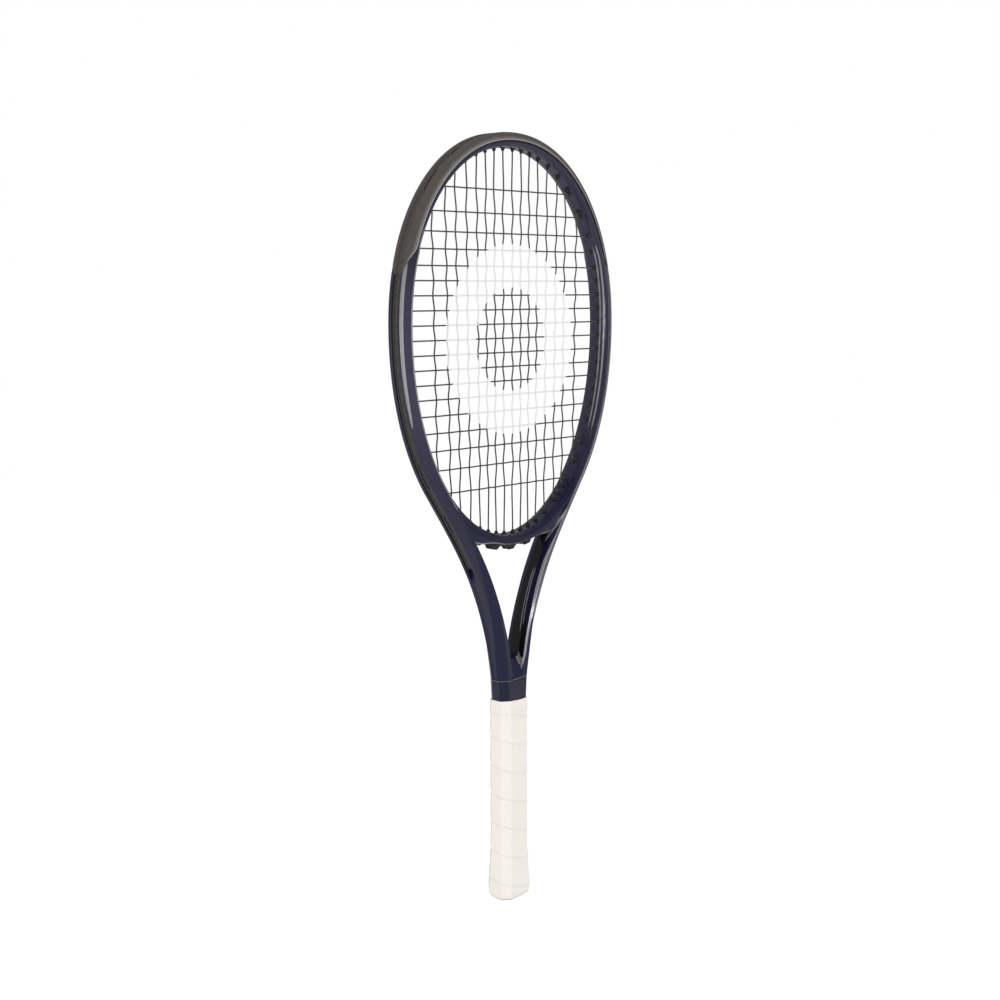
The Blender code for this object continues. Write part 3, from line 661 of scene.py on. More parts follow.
def string_material():
    """Dark multifilament string with a plain pale ring stencilled on the bed, and painted shading: darker
    low on the bed, lighter towards the head's top.
    """
    shade = Shade("string", 0.38, coat=0.3, coat_roughness=0.2)
    x, _, z = shade.split(shade.place())[:3]
    fibre = shade.noise(1800.0, 3.0)
    # Painted shading: the strings darken towards the throat and lighten towards the head's top
    height = shade.step(z, 0.42, 0.62)
    base = shade.blend(height, (0.058, 0.047, 0.038), (0.098, 0.074, 0.066))
    base = shade.blend(fibre, base, shade.blend(0.3, base, (0.14, 0.12, 0.11)))
    across = shade.minus(x, RING_CENTRE[0])
    up = shade.minus(z, RING_CENTRE[1])
    radius = shade.math("SQRT", shade.plus(shade.times(across, across), shade.times(up, up)))
    wear_and_highlight = shade.times(shade.minus(shade.noise(500.0, 3.0), 0.5), 0.002)
    radius = shade.plus(radius, wear_and_highlight)
    ring = shade.times(shade.step(radius, *RING_INNER), shade.fall(radius, *RING_OUTER))
    shade.colour(shade.blend(shade.times(ring, 0.92), base, RING_WHITE))
    shade.bump(fibre, 0.00003)
    return shade.material


def grip_material(name, colour, roughness):
    shade = Shade(name, roughness)
    grain = shade.noise(700.0, 5.0, roughness=0.6)
    crease = shade.noise(170.0, 4.0, shade.stretched((0.25, 0.25, 3.0)), 0.6)
    cloud = shade.noise(35.0, 3.0)
    warm = tuple(c * k for c, k in zip(colour, (0.96, 0.94, 0.91)))
    base = shade.blend(cloud, warm, colour)
    seam = shade.field("seam")
    shade.colour(shade.blend(shade.times(seam, 0.16), base, (0.45, 0.41, 0.36)))
    height = shade.plus(shade.times(grain, 0.1), crease)
    shade.bump(height, 0.0006)
    return shade.material


def brushed_steel():
    shade = Shade("staple_steel", 0.3, metallic=1.0)
    brush = shade.noise(400.0, 3.0, shade.stretched((1.0, 12.0, 1.0)))
    shade.colour(shade.blend(brush, (0.5, 0.5, 0.5), (0.68, 0.68, 0.68)))
    return shade.material


# ---- frame shell, bridge, crotch and collar ----

RIDGE = -0.48 * INNER_R
SHAFT_RIDGE = 1.6
SHAFT_FRONT = 11.2
LEG_END = 204.6
SHAFT_START = 205.0
BRIDGE_HALF_ANGLE = 44
CROTCH_LOW = 188.0
CROTCH_HIGH = 262.0
CROTCH_TOP = 226
CROTCH_HALF = 10.95


def tongue_distance(u):
    """Distance up the hoop from the lower end of the bumper guard."""
    return distance_from_top(hoop_u(RECESS_ANGLE)) - distance_from_top(u)


def shell_columns(u):
    z = spine(u)[:, 1]
    away = tongue_distance(u)
    full = ramp(z, LEG_END, SHAFT_START)
    outer = mix(LEG[0], mix(SHAFT[0], OUTER_R, ease(z, 226, 285)), full)
    beam = mix(LEG[1], mix(SHAFT_FRONT, BEAM, ease(z, 205, 240)), full)
    flat = mix(LEG[2], mix(SHAFT[2], SIDE_FLAT, ease(z, 207, 290)), full)
    ridge = mix(RIDGE, mix(SHAFT_RIDGE, RIDGE, ease(z, 215, 300)), full)
    edge = mix(outer, RECESS_OUTER_R, ease(away, 0, 4.6))
    corner = mix(outer, RECESS_OUTER_R, ease(away, 6, 11))
    beam = mix(beam, RECESS_BEAM, ease(away, 20, 27))
    floor = mix(outer, GROOVE_FLOOR, ease(z, *GROOVE_START))
    return mirror_outline([
        (floor, FLOOR_HALF),
        (edge, GROOVE_HALF),
        (corner, flat),
        (ridge, beam),
        (1.2 - INNER_R, mix(0.80, 0.92, (ridge - RIDGE) / (SHAFT_RIDGE - RIDGE)) * beam),
        (-INNER_R, 0.45 * beam),
    ])


def girth(corners, around, ridge):
    """Length along the outline from the ridge corners, positive towards the groove."""
    count = corners.shape[1]
    lengths = np.linalg.norm(np.roll(corners, -1, axis=1) - corners, axis=2)
    marks = np.concatenate([np.zeros((len(corners), 1)), np.cumsum(lengths, axis=1)], axis=1)
    rows = []
    for place, mark in zip(around, marks):
        here = np.interp(np.abs(place), np.arange(count + 1), mark) * np.sign(place)
        back = mark[ridge] - here
        front = here - mark[count - 1 - ridge]
        rows.append(np.where(place < (count - 1) / 2, back, front))
    return np.array(rows)


def build_shell(material):
    low = [-1.0, -0.5, 0.0] + [arm_u(z) for z in (160.0, 185.0, LEG_END, SHAFT_START)]
    run = evenly(spine, arm_u(206.5), 2.0, 2.2)
    values, sides = over_the_top(np.concatenate([low, run]))
    corners = corner_array(shell_columns(values), len(values))
    radii = np.array([0.3, 0.45, 1.1, 1.5, 1.6, 2.4])
    outlines, around = rounded(corners, np.concatenate([radii, radii[::-1]]))
    reach = distance_from_top(values)[:, None]
    fields = {"reach": reach, "girth": girth(corners, around, 3)}
    rings = place_rings(*placed(spine, values, sides), outlines)
    Body().loft(rings, fields=fields).make("frame_shell", material, "frame_tube", "frame_lacquer")


def build_bridge(material):
    """Throat bridge: two creases along its front and back, gussets into the arms and hidden ends."""
    values = evenly(hoop, -90 - BRIDGE_HALF_ANGLE, -90 + BRIDGE_HALF_ANGLE, 1.8)
    side = np.abs(values + 90)
    gusset = ease(side, 10, 22) ** 1.2
    inside = ease(side, 26, 36)
    fade = ease(side, 34, 42)
    outer = mix(mix(2.8, 9.3, gusset), 3.0, inside)
    crease = mix(0.55, 0.0, ease(side, 22, 32))
    half = [
        (outer, mix(8.4, 7.6, ease(side, 16, 30))),
        (mix(1.0, 2.6, gusset * (1 - inside)), mix(10.2, 9.5, fade)),
        (0.65, mix(10.35, 9.7, fade)),
        (0.45, mix(10.4, 9.8, fade) - crease),
        (0.25, mix(10.55, 9.9, fade)),
        (-1.15, mix(11.1, 10.6, fade)),
        (-1.35, mix(11.15, 10.7, fade) - crease),
        (-1.6, mix(11.25, 10.8, fade)),
        (-2.6, mix(11.4, 11.3, fade)),
        (-5.0, mix(9.2, 9.1, fade)),
        (mix(-6.3, -6.1, fade), 5.2),
    ]
    corners = corner_array(mirror_outline(half), len(values))
    radii = np.array([0.9, 1.6, 0.3, 0.2, 0.3, 0.3, 0.2, 0.3, 0.9, 1.2, 2.2])
    outlines, _ = rounded(corners, np.concatenate([radii, radii[::-1]]), arc=3, flat=(0.1, 0.5, 0.9))
    one = np.ones_like(values)
    rings = place_rings(*placed(hoop, values, one), outlines)
    depth = outer[:, None] - outlines[..., 0]
    body = Body().loft(rings, fields={"depth": depth})
    body.make("bridge_shell", material, "throat_bridge", "frame_lacquer")


def build_crotch(material):
    """Filler between the arms: its top is a saddle that falls away to the front and back."""
    shares = np.linspace(-1, 1, 25)
    depths = CROTCH_HALF * np.sin(np.linspace(-1, 1, 33) * math.pi / 2)
    levels = np.linspace(CROTCH_LOW, CROTCH_HIGH, 75)
    arms = np.array([spine(arm_u(level)) for level in levels])
    gap = np.interp(levels, arms[:, 1], arms[:, 0]) - INNER_R + 1.6
    rings = []
    for y in depths:
        top = CROTCH_TOP - 20 * (abs(y) / 10.9) ** 2.4 + 1.2 * shares**2
        x = shares * np.interp(top, levels, gap)
        upper = np.stack([x, np.full_like(x, y), top], axis=-1)
        base = shares[::-1] * gap[0]
        lower = np.stack([base, np.full_like(x, y), np.full_like(x, CROTCH_LOW)], axis=-1)
        rings.append(np.concatenate([upper, lower]))
    body = Body().loft(np.array(rings))
    body.make("crotch", material, "throat_wedge", "frame_lacquer")


def octagon(half_x, half_y, bevel_x, bevel_y):
    first = [(half_x, bevel_y - half_y), (half_x, half_y - bevel_y)]
    second = [(half_x - bevel_x, half_y), (bevel_x - half_x, half_y)]
    third = [(-x, -y) for x, y in first]
    fourth = [(-x, -y) for x, y in second]
    return first + second + third + fourth


def octagon_rings(levels, sizes, radius, **rounding):
    """Rounded octagon rings at levels from rows (half x, half y, bevel x, bevel y)."""
    corners = np.array([octagon(*size) for size in sizes])
    outlines, _ = rounded(corners, radius, **rounding)
    height = np.broadcast_to(np.asarray(levels, float)[:, None], outlines.shape[:2])
    return np.concatenate([outlines, height[..., None]], axis=2)


def build_collar(material):
    foot = box_mm("handle_collar")[0][2]
    levels = [foot, foot, 186.0, 192.0, 198.0, 203.0, SEAM_Z - 0.6, SEAM_Z - 0.2]
    arm_x = spine(arm_u(SEAM_Z))[0]
    sizes = []
    for z, trim in zip(levels, (-4.0, 0, 0, 0, 0, 0, 0, -0.5)):
        share = ramp(z, foot, SEAM_Z)
        half_x = mix(16.9, arm_x + SHAFT[0], share) + trim
        half_y = mix(10.9, SHAFT_FRONT, share) + trim
        bevel_x = mix(6.0, SHAFT[0] - SHAFT_RIDGE, share)
        sizes.append((half_x, half_y, bevel_x, half_y - mix(4.1, SHAFT[2], share)))
    rings = octagon_rings(levels, sizes, 1.1)
    Body().loft(rings).make("collar", material, "handle_collar", "frame_lacquer")


# ---- string holes, all in the plane of the strings ----


class Hole:
    """One string hole: its axis runs from the hoop's inner face to the string's level outside."""

    def __init__(self, angle, side, way, nose, in_bridge=False):
        point, outward = placed(hoop, np.array([float(angle)]), np.array([float(side)]))
        self.side = side
        self.in_bridge = in_bridge
        self.level = BRIDGE_STRING_LEVEL if in_bridge else STRING_LEVEL
        self.face = point[0] - outward[0] * INNER_R
        share = BRIDGE_NORMAL_SHARE if in_bridge else NORMAL_SHARE
        aim = unit(outward[0] * share + np.array(way, float))
        self.u = self.find_exit(aim)
        self.outlet = self.level_point(self.u)
        self.axis = unit(self.outlet - self.face)
        self.nose = nose
        self.mouth = self.face - self.axis * nose
        self.bend = self.mouth - self.axis

    def level_point(self, u):
        path, side = (hoop, 1.0) if self.in_bridge else (spine, float(self.side))
        point, outward = placed(path, np.array([u]), np.array([side]))
        return point[0] + outward[0] * self.level

    def find_exit(self, aim):
        """Where the ray along aim meets the curve at the strings' level."""
        marks, track = TRACKS[self.in_bridge]
        if not self.in_bridge:
            track = track * np.array([self.side, 1])
        away = track - self.face
        miss = away[:, 0] * aim[1] - away[:, 1] * aim[0]
        ahead = (away @ aim)[1:] > 0
        turns = np.nonzero((miss[1:] * miss[:-1] <= 0) & ahead)[0]
        if not len(turns):
            return marks[-1]
        turn = turns[0]
        return mix(marks[turn], marks[turn + 1], miss[turn] / (miss[turn] - miss[turn + 1]))


def level_track(path, marks, level):
    return marks, path(marks) + normals(path, marks) * level


TRACKS = {
    True: level_track(hoop, np.linspace(-127, -53, 121), BRIDGE_STRING_LEVEL),
    False: level_track(spine, np.linspace(arm_u(GROOVE_START[1]), 2.0, 361), STRING_LEVEL),
}


def main_x(start, z):
    return start * (1 + MAIN_FAN * (z - FAN_CENTRE_Z))


MAIN_OFFSETS = np.cumsum((FIRST_MAIN,) + MAIN_GAPS)
CROSS_HEIGHTS = TOP_CROSS_Z - np.cumsum((0,) + CROSS_GAPS)


def main_hole(offset, side, top, in_bridge):
    def build(angle):
        return Hole(angle, side, (0, 1 if top else -1), MAIN_NOSE, in_bridge)

    def miss(angle):
        bend = build(angle).bend
        return side * bend[0] - main_x(offset, bend[1])

    return build(bisect(miss, 35, 89.9) if top else bisect(miss, -89.9, -35))


def cross_hole(z, side):
    def build(angle):
        return Hole(angle, side, (side, 0), CROSS_NOSE)

    return build(bisect(lambda angle: build(angle).bend[1] - z, -60, 60))


def drill():
    """All string holes: mains by (side, index, top), crosses by (side, index), and tie-offs."""
    mains = {}
    for index, offset in enumerate(MAIN_OFFSETS):
        for side in (1, -1):
            mains[side, index, True] = main_hole(offset, side, True, False)
            mains[side, index, False] = main_hole(offset, side, False, index < BRIDGE_MAINS)
    crosses = {(s, i): cross_hole(z, s) for i, z in enumerate(CROSS_HEIGHTS) for s in (1, -1)}
    main_tie = bisect(lambda angle: hoop(angle)[1] - MAIN_TIE_Z, ARM_ANGLE, 0)
    ties = {
        "main_right": Hole(main_tie, 1, (1, 0), CROSS_NOSE),
        "main_left": Hole(main_tie, -1, (-1, 0), CROSS_NOSE),
        "cross_start": Hole(START_TIE_ANGLE, -1, (0, 1), CROSS_NOSE),
        "cross_end": Hole(END_TIE_ANGLE, 1, (0, -1), CROSS_NOSE),
    }
    return mains, crosses, ties


# ---- guard and grommet strips ----


def nub_rings(hole, turns=20):
    """A grommet's nose: a flange on the hoop's inner face and a cone around the string."""
    axis = np.array([hole.axis[0], 0.0, hole.axis[1]])
    face = np.array([hole.face[0], 0.0, hole.face[1]])
    across = np.array([0.0, 1.0, 0.0])
    up = np.cross(axis, across)
    profile = (
        (2.4, 1.75), (0.9, 2.0), (0.1, 2.35), (-0.35, 2.35), (-0.55, 2.1), (-0.6, 1.8),
        (-hole.nose + 0.15, 1.25), (-hole.nose, 1.1), (-hole.nose, 0.8), (2.4, 0.8),
    )
    angles = np.linspace(0, 2 * math.pi, turns, endpoint=False)
    rings = []
    for depth, radius in profile:
        ring = np.outer(np.cos(angles), across) + np.outer(np.sin(angles), up)
        rings.append(face + axis * depth + ring * radius)
    return np.array(rings)


def add_nubs(body, holes, **fields):
    for hole in holes:
        body.loft(nub_rings(hole), closed=True, fields=fields)
    return body


# Places of the guard's two lips, in corners round its outline
LIP_PLACES = (3.0, 12.0)
RIB_LEVEL = 3.7


def rib_x(values):
    """Where the throat strip's ribs lie across the racket, at stations of the hoop."""
    return level_track(hoop, values, RIB_LEVEL)[1][:, 0]


def build_guard(holes, material):
    values, sides = over_the_top(evenly(spine, hoop_u(RECESS_ANGLE), 2.0, 2.0))
    away = tongue_distance(values)
    lip = ease(away, 6, 25) * 0.97 + 0.03
    shoulder = mix(4.2, 7.2, ease(away, -1, 8))
    inner_lip = mix(4.4, -0.84, lip), mix(shoulder + 0.1, 10.15, lip)
    outer_lip = mix(5.9, -0.3, lip), mix(shoulder + 0.1, 10.95, lip)
    half = [
        (3.2, 3.0), (4.4, 3.5), (4.4, shoulder), inner_lip,
        outer_lip, (6.4, shoulder), (6.4, 3.8), (4.1, 2.4),
    ]
    # The outline's wrap lies in the channel's middle, under the strings
    half = half[::-1]
    corners = corner_array(mirror_outline(half), len(values))
    radii = np.array([0.2, 0.45, 1.0, 0.4, 0.25, 0.2, 0.2, 0.2])
    outlines, around = rounded(corners, np.concatenate([radii, radii[::-1]]), arc=3, flat=(0.08, 0.5, 0.92))
    off_lip = np.minimum(*(np.abs(around - place) for place in LIP_PLACES))
    # Painted highlight along both lips, fading in up from the guard's lower end
    wear_and_highlight = np.clip(1.6 - off_lip / 0.10, 0, 1) * ease(away, 3, 14)[:, None]
    rings = place_rings(*placed(spine, values, sides), outlines)
    body = Body().loft(rings, fields={"lip": wear_and_highlight, "nose": 0.0})
    add_nubs(body, holes, lip=0.0, nose=1.0).make("guard", material, "bumper_guard", "guard_nylon")


def build_side_strip(side, word, holes, material):
    values = evenly(spine, arm_u(STRIP_END_Z), hoop_u(RECESS_ANGLE), 2.5)
    half = [(4.0, 1.9), (5.5, 2.2), (5.5, 2.85), (3.0, 2.85)]
    corners = corner_array(mirror_outline(half), len(values))
    outlines, _ = rounded(corners, 0.2, arc=2, flat=(0.5,))
    rings = place_rings(*placed(spine, values, np.full(len(values), float(side))), outlines)
    node = "grommet_strip_" + word
    body = Body().loft(rings, fields={"nose": 0.0})
    add_nubs(body, holes, nose=1.0).make("grommets_" + word, material, node, "grommet_nylon")


def build_throat_strip(holes, material):
    reach = THROAT_STRIP_HALF
    ends = [bisect(lambda a: rib_x(np.array([a]))[0] - x, -150, -30) for x in (-reach, reach)]
    values = evenly(hoop, *ends, 0.9)
    x = rib_x(values)
    lift = sum(1 - ramp(np.abs(x - c), SADDLE_TOP_HALF, SADDLE_HALF) for c in SADDLE_CENTRES)
    rib = 4.3 + SADDLE_HEIGHT * lift
    half = [(np.minimum(rib, 4.3), 1.1), (rib, 1.3), (rib, 3.2), (4.3, 4.4), (2.6, 4.6)]
    corners = corner_array(mirror_outline(half), len(values))
    outlines, _ = rounded(corners, 0.35, arc=2, flat=(0.5,))
    rings = place_rings(*placed(hoop, values, np.ones_like(values)), outlines)
    body = Body().loft(rings, fields={"nose": 1.0})
    body = add_nubs(body, holes, nose=1.0)
    body.make("grommets_throat", material, "grommet_strip_throat", "grommet_nylon")


# ---- strings ----


def lift(point, y=0.0):
    return np.array([point[0], y, point[1]])


def groove_run(one, two, lane):
    """Points outside the frame from one hole's outlet to another's, in a lane of the groove."""
    count = max(3, round(np.linalg.norm(two.outlet - one.outlet) / 4))
    points = [lift(one.outlet)]
    for k in range(count):
        share = (k + 0.5) / count
        if one.in_bridge or one.side == two.side:
            points.append(lift(one.level_point(mix(one.u, two.u, share)), lane))
            continue
        walk = one.u + (4 - one.u - two.u) * share
        hole = one if walk < 2 else two
        points.append(lift(hole.level_point(walk if walk < 2 else 4 - walk), lane))
    return points + [lift(two.outlet)]


def woven(start, end, crossings):
    """A strung line between two bends that passes each crossing (share, y) in a smooth wave."""
    length = np.linalg.norm(end - start)
    shares = np.array([0.0] + [share for share, _ in crossings] + [1.0])
    heights = np.array([0.0] + [y for _, y in crossings] + [0.0])
    steps = np.linspace(0, 1, max(2, round(length / 1.5)) + 1)
    cell = np.clip(np.searchsorted(shares, steps, side="right") - 1, 0, len(shares) - 2)
    within = (steps - shares[cell]) / (shares[cell + 1] - shares[cell])
    wave = mix(heights[cell], heights[cell + 1], (1 - np.cos(math.pi * within)) / 2)
    flat = start + np.outer(steps, end - start)
    return [lift(point, y) for point, y in zip(flat, wave)]


def main_line(mains, side, index, upwards):
    top = mains[side, index, True].bend
    bottom = mains[side, index, False].bend
    column = index if side > 0 else -index - 1
    sign = 1 if column % 2 else -1
    crossings = []
    for k, z in enumerate(CROSS_HEIGHTS):
        if bottom[1] < z < top[1]:
            y = MAIN_WEAVE * sign * (1 if k % 2 else -1)
            crossings.append(((z - top[1]) / (bottom[1] - top[1]), y))
    points = woven(top, bottom, crossings)
    return points[::-1] if upwards else points


def cross_line(crosses, mains, index, rightwards):
    side = -1 if rightwards else 1
    start, end = crosses[side, index].bend, crosses[-side, index].bend
    sign = -1 if index % 2 else 1
    crossings = []
    for s in (-1, 1):
        for k, offset in enumerate(MAIN_OFFSETS):
            if mains[s, k, False].bend[1] < start[1] < mains[s, k, True].bend[1]:
                column = k if s > 0 else -k - 1
                x = main_x(s * offset, start[1])
                y = CROSS_WEAVE * sign * (1 if column % 2 else -1)
                crossings.append(((x - start[0]) / (end[0] - start[0]), y))
    return woven(start, end, sorted(crossings))


def string_body(body, points, radii):
    """Sweep a round section along a route, easing its corners."""
    route = np.array(points)
    gaps = np.linalg.norm(np.diff(route, axis=0), axis=1)
    keep = np.concatenate([[True], gaps > 0.05])
    route, thick = route[keep], np.array(radii)[keep]
    distance = np.concatenate([[0], np.cumsum(np.linalg.norm(np.diff(route, axis=0), axis=1))])
    steps = np.linspace(0, distance[-1], int(distance[-1] / 1.4))
    route = np.stack([np.interp(steps, distance, route[:, k]) for k in range(3)], axis=1)
    thick = np.interp(steps, distance, thick)
    for _ in range(2):
        route[1:-1] = (route[:-2] + 2 * route[1:-1] + route[2:]) / 4
    along = unit(np.gradient(route, axis=0))
    across = unit(np.cross(along, (0.0, 1.0, 0.0)))
    up = np.cross(across, along)
    angles = np.linspace(0, 2 * math.pi, 8, endpoint=False)
    circle = across[:, None] * np.cos(angles)[:, None] + up[:, None] * np.sin(angles)[:, None]
    return body.loft(route[:, None] + circle * (thick * GAUGE / 2)[:, None, None])


def knot(hole):
    depths = ((0.2, 1.0), (0.6, 1.0), (1.0, 1.9), (1.8, 2.1), (2.8, 1.8), (3.2, 0.8))
    return [(lift(hole.mouth - hole.axis * depth), radius) for depth, radius in depths]


def half_of_mains(mains, side, tie):
    """One half of the main string, from its centre main's foot out to its tie-off."""
    last = len(MAIN_OFFSETS) - 1
    route = []
    for index in range(last + 1):
        upwards = index % 2 == 0
        route += main_line(mains, side, index, upwards)
        hole = mains[side, index, upwards]
        following = mains[side, index + 1, upwards] if index < last else tie
        route += groove_run(hole, following, 0 if hole.in_bridge else LANE)
    return route


def with_knots(start, route, end):
    """Route with a knot at its end, and one at its start when start is given."""
    pairs = [(point, 1.0) for point in route] + knot(end)
    if start is not None:
        pairs = knot(start)[::-1] + pairs
    return pairs


def build_strings(mains, crosses, ties, material):
    left = half_of_mains(mains, -1, ties["main_left"])[::-1]
    right = half_of_mains(mains, 1, ties["main_right"])
    centre = groove_run(mains[-1, 0, False], mains[1, 0, False], 0)
    pairs = with_knots(ties["main_left"], left + centre + right, ties["main_right"])
    body = string_body(Body(), *zip(*pairs))
    body.make("mains", material, "main_string", "string")
    route = groove_run(ties["cross_start"], crosses[-1, 0], -LANE)
    count = len(CROSS_HEIGHTS)
    for index in range(count):
        rightwards = index % 2 == 0
        route += cross_line(crosses, mains, index, rightwards)
        side = 1 if rightwards else -1
        following = crosses[side, index + 1] if index + 1 < count else ties["cross_end"]
        route += groove_run(crosses[side, index], following, -LANE)
    pairs = with_knots(ties["cross_start"], route, ties["cross_end"])
    string_body(Body(), *zip(*pairs)).make("crosses", material, "cross_string", "string")


# ---- handle ----


def over_pallet(grow, bevel):
    """Octagon size that stands a distance outside the foam pallet."""
    return HALF_PALLET[0] + grow, HALF_PALLET[1] + grow, bevel, bevel


def levels_and_sizes(rows):
    return [row[0] for row in rows], [(x, y, bevel, bevel) for _, x, y, bevel in rows]


def build_grip(material):
    """Wound strip: each turn laps the one below it, so the surface steps once per turn."""
    levels = np.concatenate([[2.0, 2.3, 3.0, 4.0], np.arange(4.8, GRIP_TOP, 0.6), [GRIP_TOP]])
    flare = np.maximum(np.interp(levels, *CAP_FLARE), 0.0) * (1 - ease(levels, 38, 47))
    flare = np.where(levels < 46, flare, 0.0)
    trim = np.interp(levels, (2.0, 2.6, 4.5), (-1.1, -0.4, 0.0))
    sizes = [over_pallet(grow, 6.4) for grow in GRIP_OUT + 0.8 * flare + trim]
    rings = octagon_rings(levels, sizes, 2.2, arc=5, flat=GRIP_FLAT)
    turn = np.arctan2(rings[..., 1], rings[..., 0]) / (2 * math.pi)
    phase = (rings[..., 2] / GRIP_PITCH + turn - GRIP_START) % 1.0
    away = unit(rings * np.array([1.0, 1.0, 0.0]))
    rings = rings + away * np.interp(phase, *LAP)[..., None]
    inner = over_pallet(0.5, 5.8)
    sizes = (inner, inner, over_pallet(1.5, 5.9), inner)
    lining = octagon_rings((GRIP_TOP, 60.0, 30.0, 2.0), sizes, 1.5, arc=5, flat=GRIP_FLAT)
    rings = np.concatenate([rings, lining])
    seam = np.concatenate([np.interp(phase, *LAP_SEAM), np.zeros(lining.shape[:2])])
    Body().loft(rings, closed=True, fields={"seam": seam}).make("grip", material, "grip_wrap", "grip_wrap")


def build_tape(material):
    levels = np.array([175.0, 175.15, 175.6, 178.0, 181.0, 183.5, 185.6, 186.5, 186.8, 186.5, 181.0, 175.0])
    out = [2.1, 2.4, 2.5, 2.5, 2.5, 2.5, 2.45, 2.3, 2.0, 1.4, 1.2, 1.2]
    sizes = []
    for z, g in zip(levels, out):
        pull = ramp(z, 181.0, 186.6)
        sizes.append((HALF_PALLET[0] + g, HALF_PALLET[1] + g - 0.5 * pull, 6.5, 6.6))
    rings = octagon_rings(levels, sizes, 2.2)
    turn = np.arctan2(rings[..., 1], rings[..., 0])
    ragged = 0.35 * np.sin(turn * 2 + 0.6) + 0.2 * np.sin(turn * 5)
    rings[..., 2] += ragged * ramp(rings[..., 2], 181, 186.5)
    body = Body().loft(rings, closed=True, fields={"seam": 0.0})
    body.make("tape", material, "finishing_tape", "finishing_tape")


def build_cap(material):
    outside = [0.0, 0.15, 0.5, 1.6, 4.0, 6.0, 13.0, 21.0, 30.0, 40.0]
    seat = [40.0, CAP_WELL[0][0]]
    well, well_sizes = levels_and_sizes(CAP_WELL)
    sizes = [over_pallet(grow, 5.9) for grow in np.interp(outside, *CAP_FLARE)]
    sizes += [over_pallet(0.3, 5.8)] * 2 + well_sizes
    rings = octagon_rings(outside + seat + well, sizes, 1.0)
    Body().loft(rings, closed=True).make("cap", material, "butt_cap", "cap_nylon")
    rings = octagon_rings(*levels_and_sizes(CAP_DOOR), 0.8)
    Body().loft(rings).make("cap_door", material, "butt_cap_door", "cap_nylon")


def dress(node, material):
    """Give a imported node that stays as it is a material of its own."""
    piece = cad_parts[node]
    piece.data.materials.clear()
    piece.data.materials.append(material)


# ---- surroundings ----

CAMERA_PLACE = (-1.0223, -0.9105, 0.5513)
CAMERA_WAY = (0.7365, 0.6631, -0.1335)
CAMERA_ROLL = -0.16
LENS = 55.9
LIT_HEIGHT = 0.35

# How bright the surroundings look, how much they light and how bright their reflections are
WHITE_SEEN = 1.0
WALL_LIGHT = 0.86
FLOOR_LIGHT = 0.85
MIRRORED_FLOOR = 0.30
MIRRORED_WALLS = (0.30, 0.95, 0.24, 0.15)


def aim(item, way):
    """Turn a camera or a light to look along a direction."""
    item.rotation_mode = "QUATERNION"
    item.rotation_quaternion = Vector(way).to_track_quat("-Z", "Y")


def add_camera():
    data = bpy.data.cameras.new("camera")
    data.lens = LENS
    camera = add_object("camera", data)
    camera.location = CAMERA_PLACE
    aim(camera, CAMERA_WAY)
    roll = Quaternion((0, 0, 1), math.radians(CAMERA_ROLL))
    camera.rotation_quaternion = camera.rotation_quaternion @ roll
    bpy.context.scene.camera = camera


def add_light(name, place, size, power, glossy=False):
    data = bpy.data.lights.new(name, "AREA")
    data.shape = "SQUARE"
    data.size = size
    data.energy = power
    light = add_object(name, data)
    light.location = place
    light.visible_glossy = glossy
    aim(light, Vector((0, 0, LIT_HEIGHT)) - Vector(place))


def add_world():
    """White studio whose reflections are darkest from behind the camera."""
    world = bpy.data.worlds.new("studio")
    world.use_nodes = True
    graph = Graph(world.node_tree)
    way = graph.node("ShaderNodeTexCoord", {}).outputs["Generated"]
    inputs = {0: way, 1: [-part for part in CAMERA_WAY]}
    toward = graph.node("ShaderNodeVectorMath", inputs, operation="DOT_PRODUCT")
    inputs = dict(zip(("From Min", "From Max", "To Min", "To Max"), MIRRORED_WALLS))
    inputs["Value"] = toward.outputs["Value"]
    walls = graph.node("ShaderNodeMapRange", inputs, interpolation_type="SMOOTHSTEP")
    background = graph.nodes["Background"].inputs
    graph.feed(background["Strength"], graph.by_ray(WHITE_SEEN, WALL_LIGHT, walls.outputs[0]))
    background["Color"].default_value = (1, 1, 1, 1)
    world.cycles.sampling_method = "NONE"
    bpy.context.scene.world = world


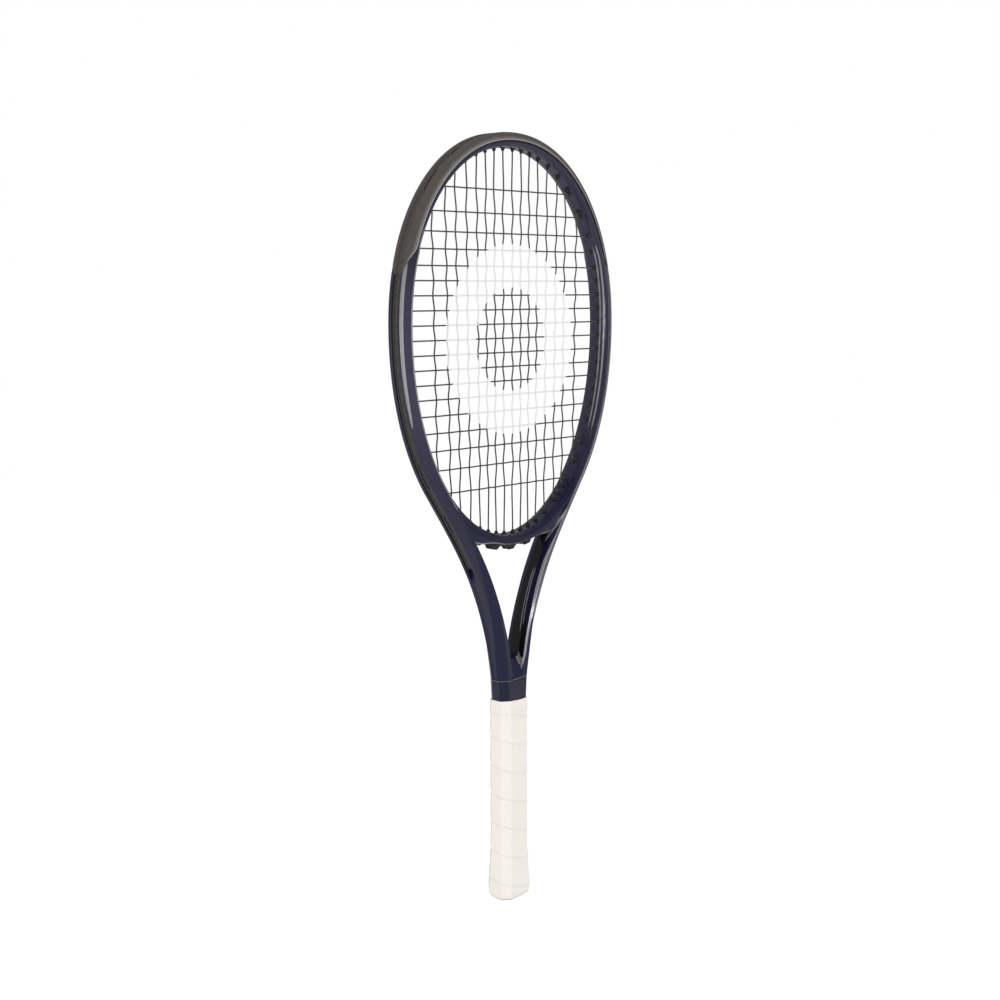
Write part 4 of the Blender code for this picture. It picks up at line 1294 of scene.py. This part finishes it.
def add_floor():
    side = 3000.0
    square = np.array([[-side, -side], [side, -side], [side, side], [-side, side]])
    rings = [np.concatenate([square, np.full((4, 1), z)], axis=1) for z in (-20.0, 0.0)]
    mesh = Body().loft(np.array(rings)).mesh("floor")
    floor = add_object("floor", mesh)
    shade = Shade("floor", 0.9)
    shade.colour((0.04, 0.04, 0.04))
    strength = shade.by_ray(WHITE_SEEN, FLOOR_LIGHT, MIRRORED_FLOOR)
    shade.surface["Emission Color"].default_value = (1, 1, 1, 1)
    shade.feed(shade.surface["Emission Strength"], strength)
    shade.material.cycles.emission_sampling = "NONE"
    mesh.materials.append(shade.material)


def build_pieces():
    paint = lacquer()
    collar = slate_lacquer()
    grommet = grommet_material()
    build_shell(paint)
    build_bridge(bare_lacquer("bridge_lacquer", lined=True))
    build_crotch(bare_lacquer("crotch_lacquer"))
    build_collar(collar)
    mains, crosses, ties = drill()
    holes = list(mains.values()) + list(crosses.values()) + list(ties.values())
    outside = [hole for hole in holes if not hole.in_bridge]
    split = hoop_u(RECESS_ANGLE)
    build_guard([hole for hole in outside if hole.u > split], guard_material())
    for side, word in ((1, "right"), (-1, "left")):
        low = [hole for hole in outside if hole.side == side and hole.u <= split]
        build_side_strip(side, word, low, grommet)
    build_throat_strip([hole for hole in holes if hole.in_bridge], grommet)
    build_strings(mains, crosses, ties, string_material())
    build_grip(grip_material("grip_wrap", (0.92, 0.885, 0.83), 0.22))
    build_tape(grip_material("finishing_tape", (0.92, 0.89, 0.84), 0.2))
    build_cap(moulded_plastic("cap_nylon", (0.42, 0.44, 0.41), 0.5))
    foam = moulded_plastic("handle_foam", (0.45, 0.43, 0.36), 0.8, 300.0, 0.0001)
    for node in ("pallet_front", "pallet_back"):
        dress(node, foam)
    steel = brushed_steel()
    for node in ("cap_staple_right", "cap_staple_left"):
        dress(node, steel)


build_pieces()
add_world()
add_floor()
add_camera()
bpy.context.scene.view_settings.view_transform = "Standard"
add_light("left", (-2.2, 0.0, 0.40), 0.5, 4, glossy=True)
add_light("right", (0.1, -2.2, 0.40), 0.5, 4, glossy=True)
add_light("front", (-1.5, -1.35, 1.0), 1.2, 3)
add_light("top", (-0.3, -0.3, 2.4), 1.6, 6)
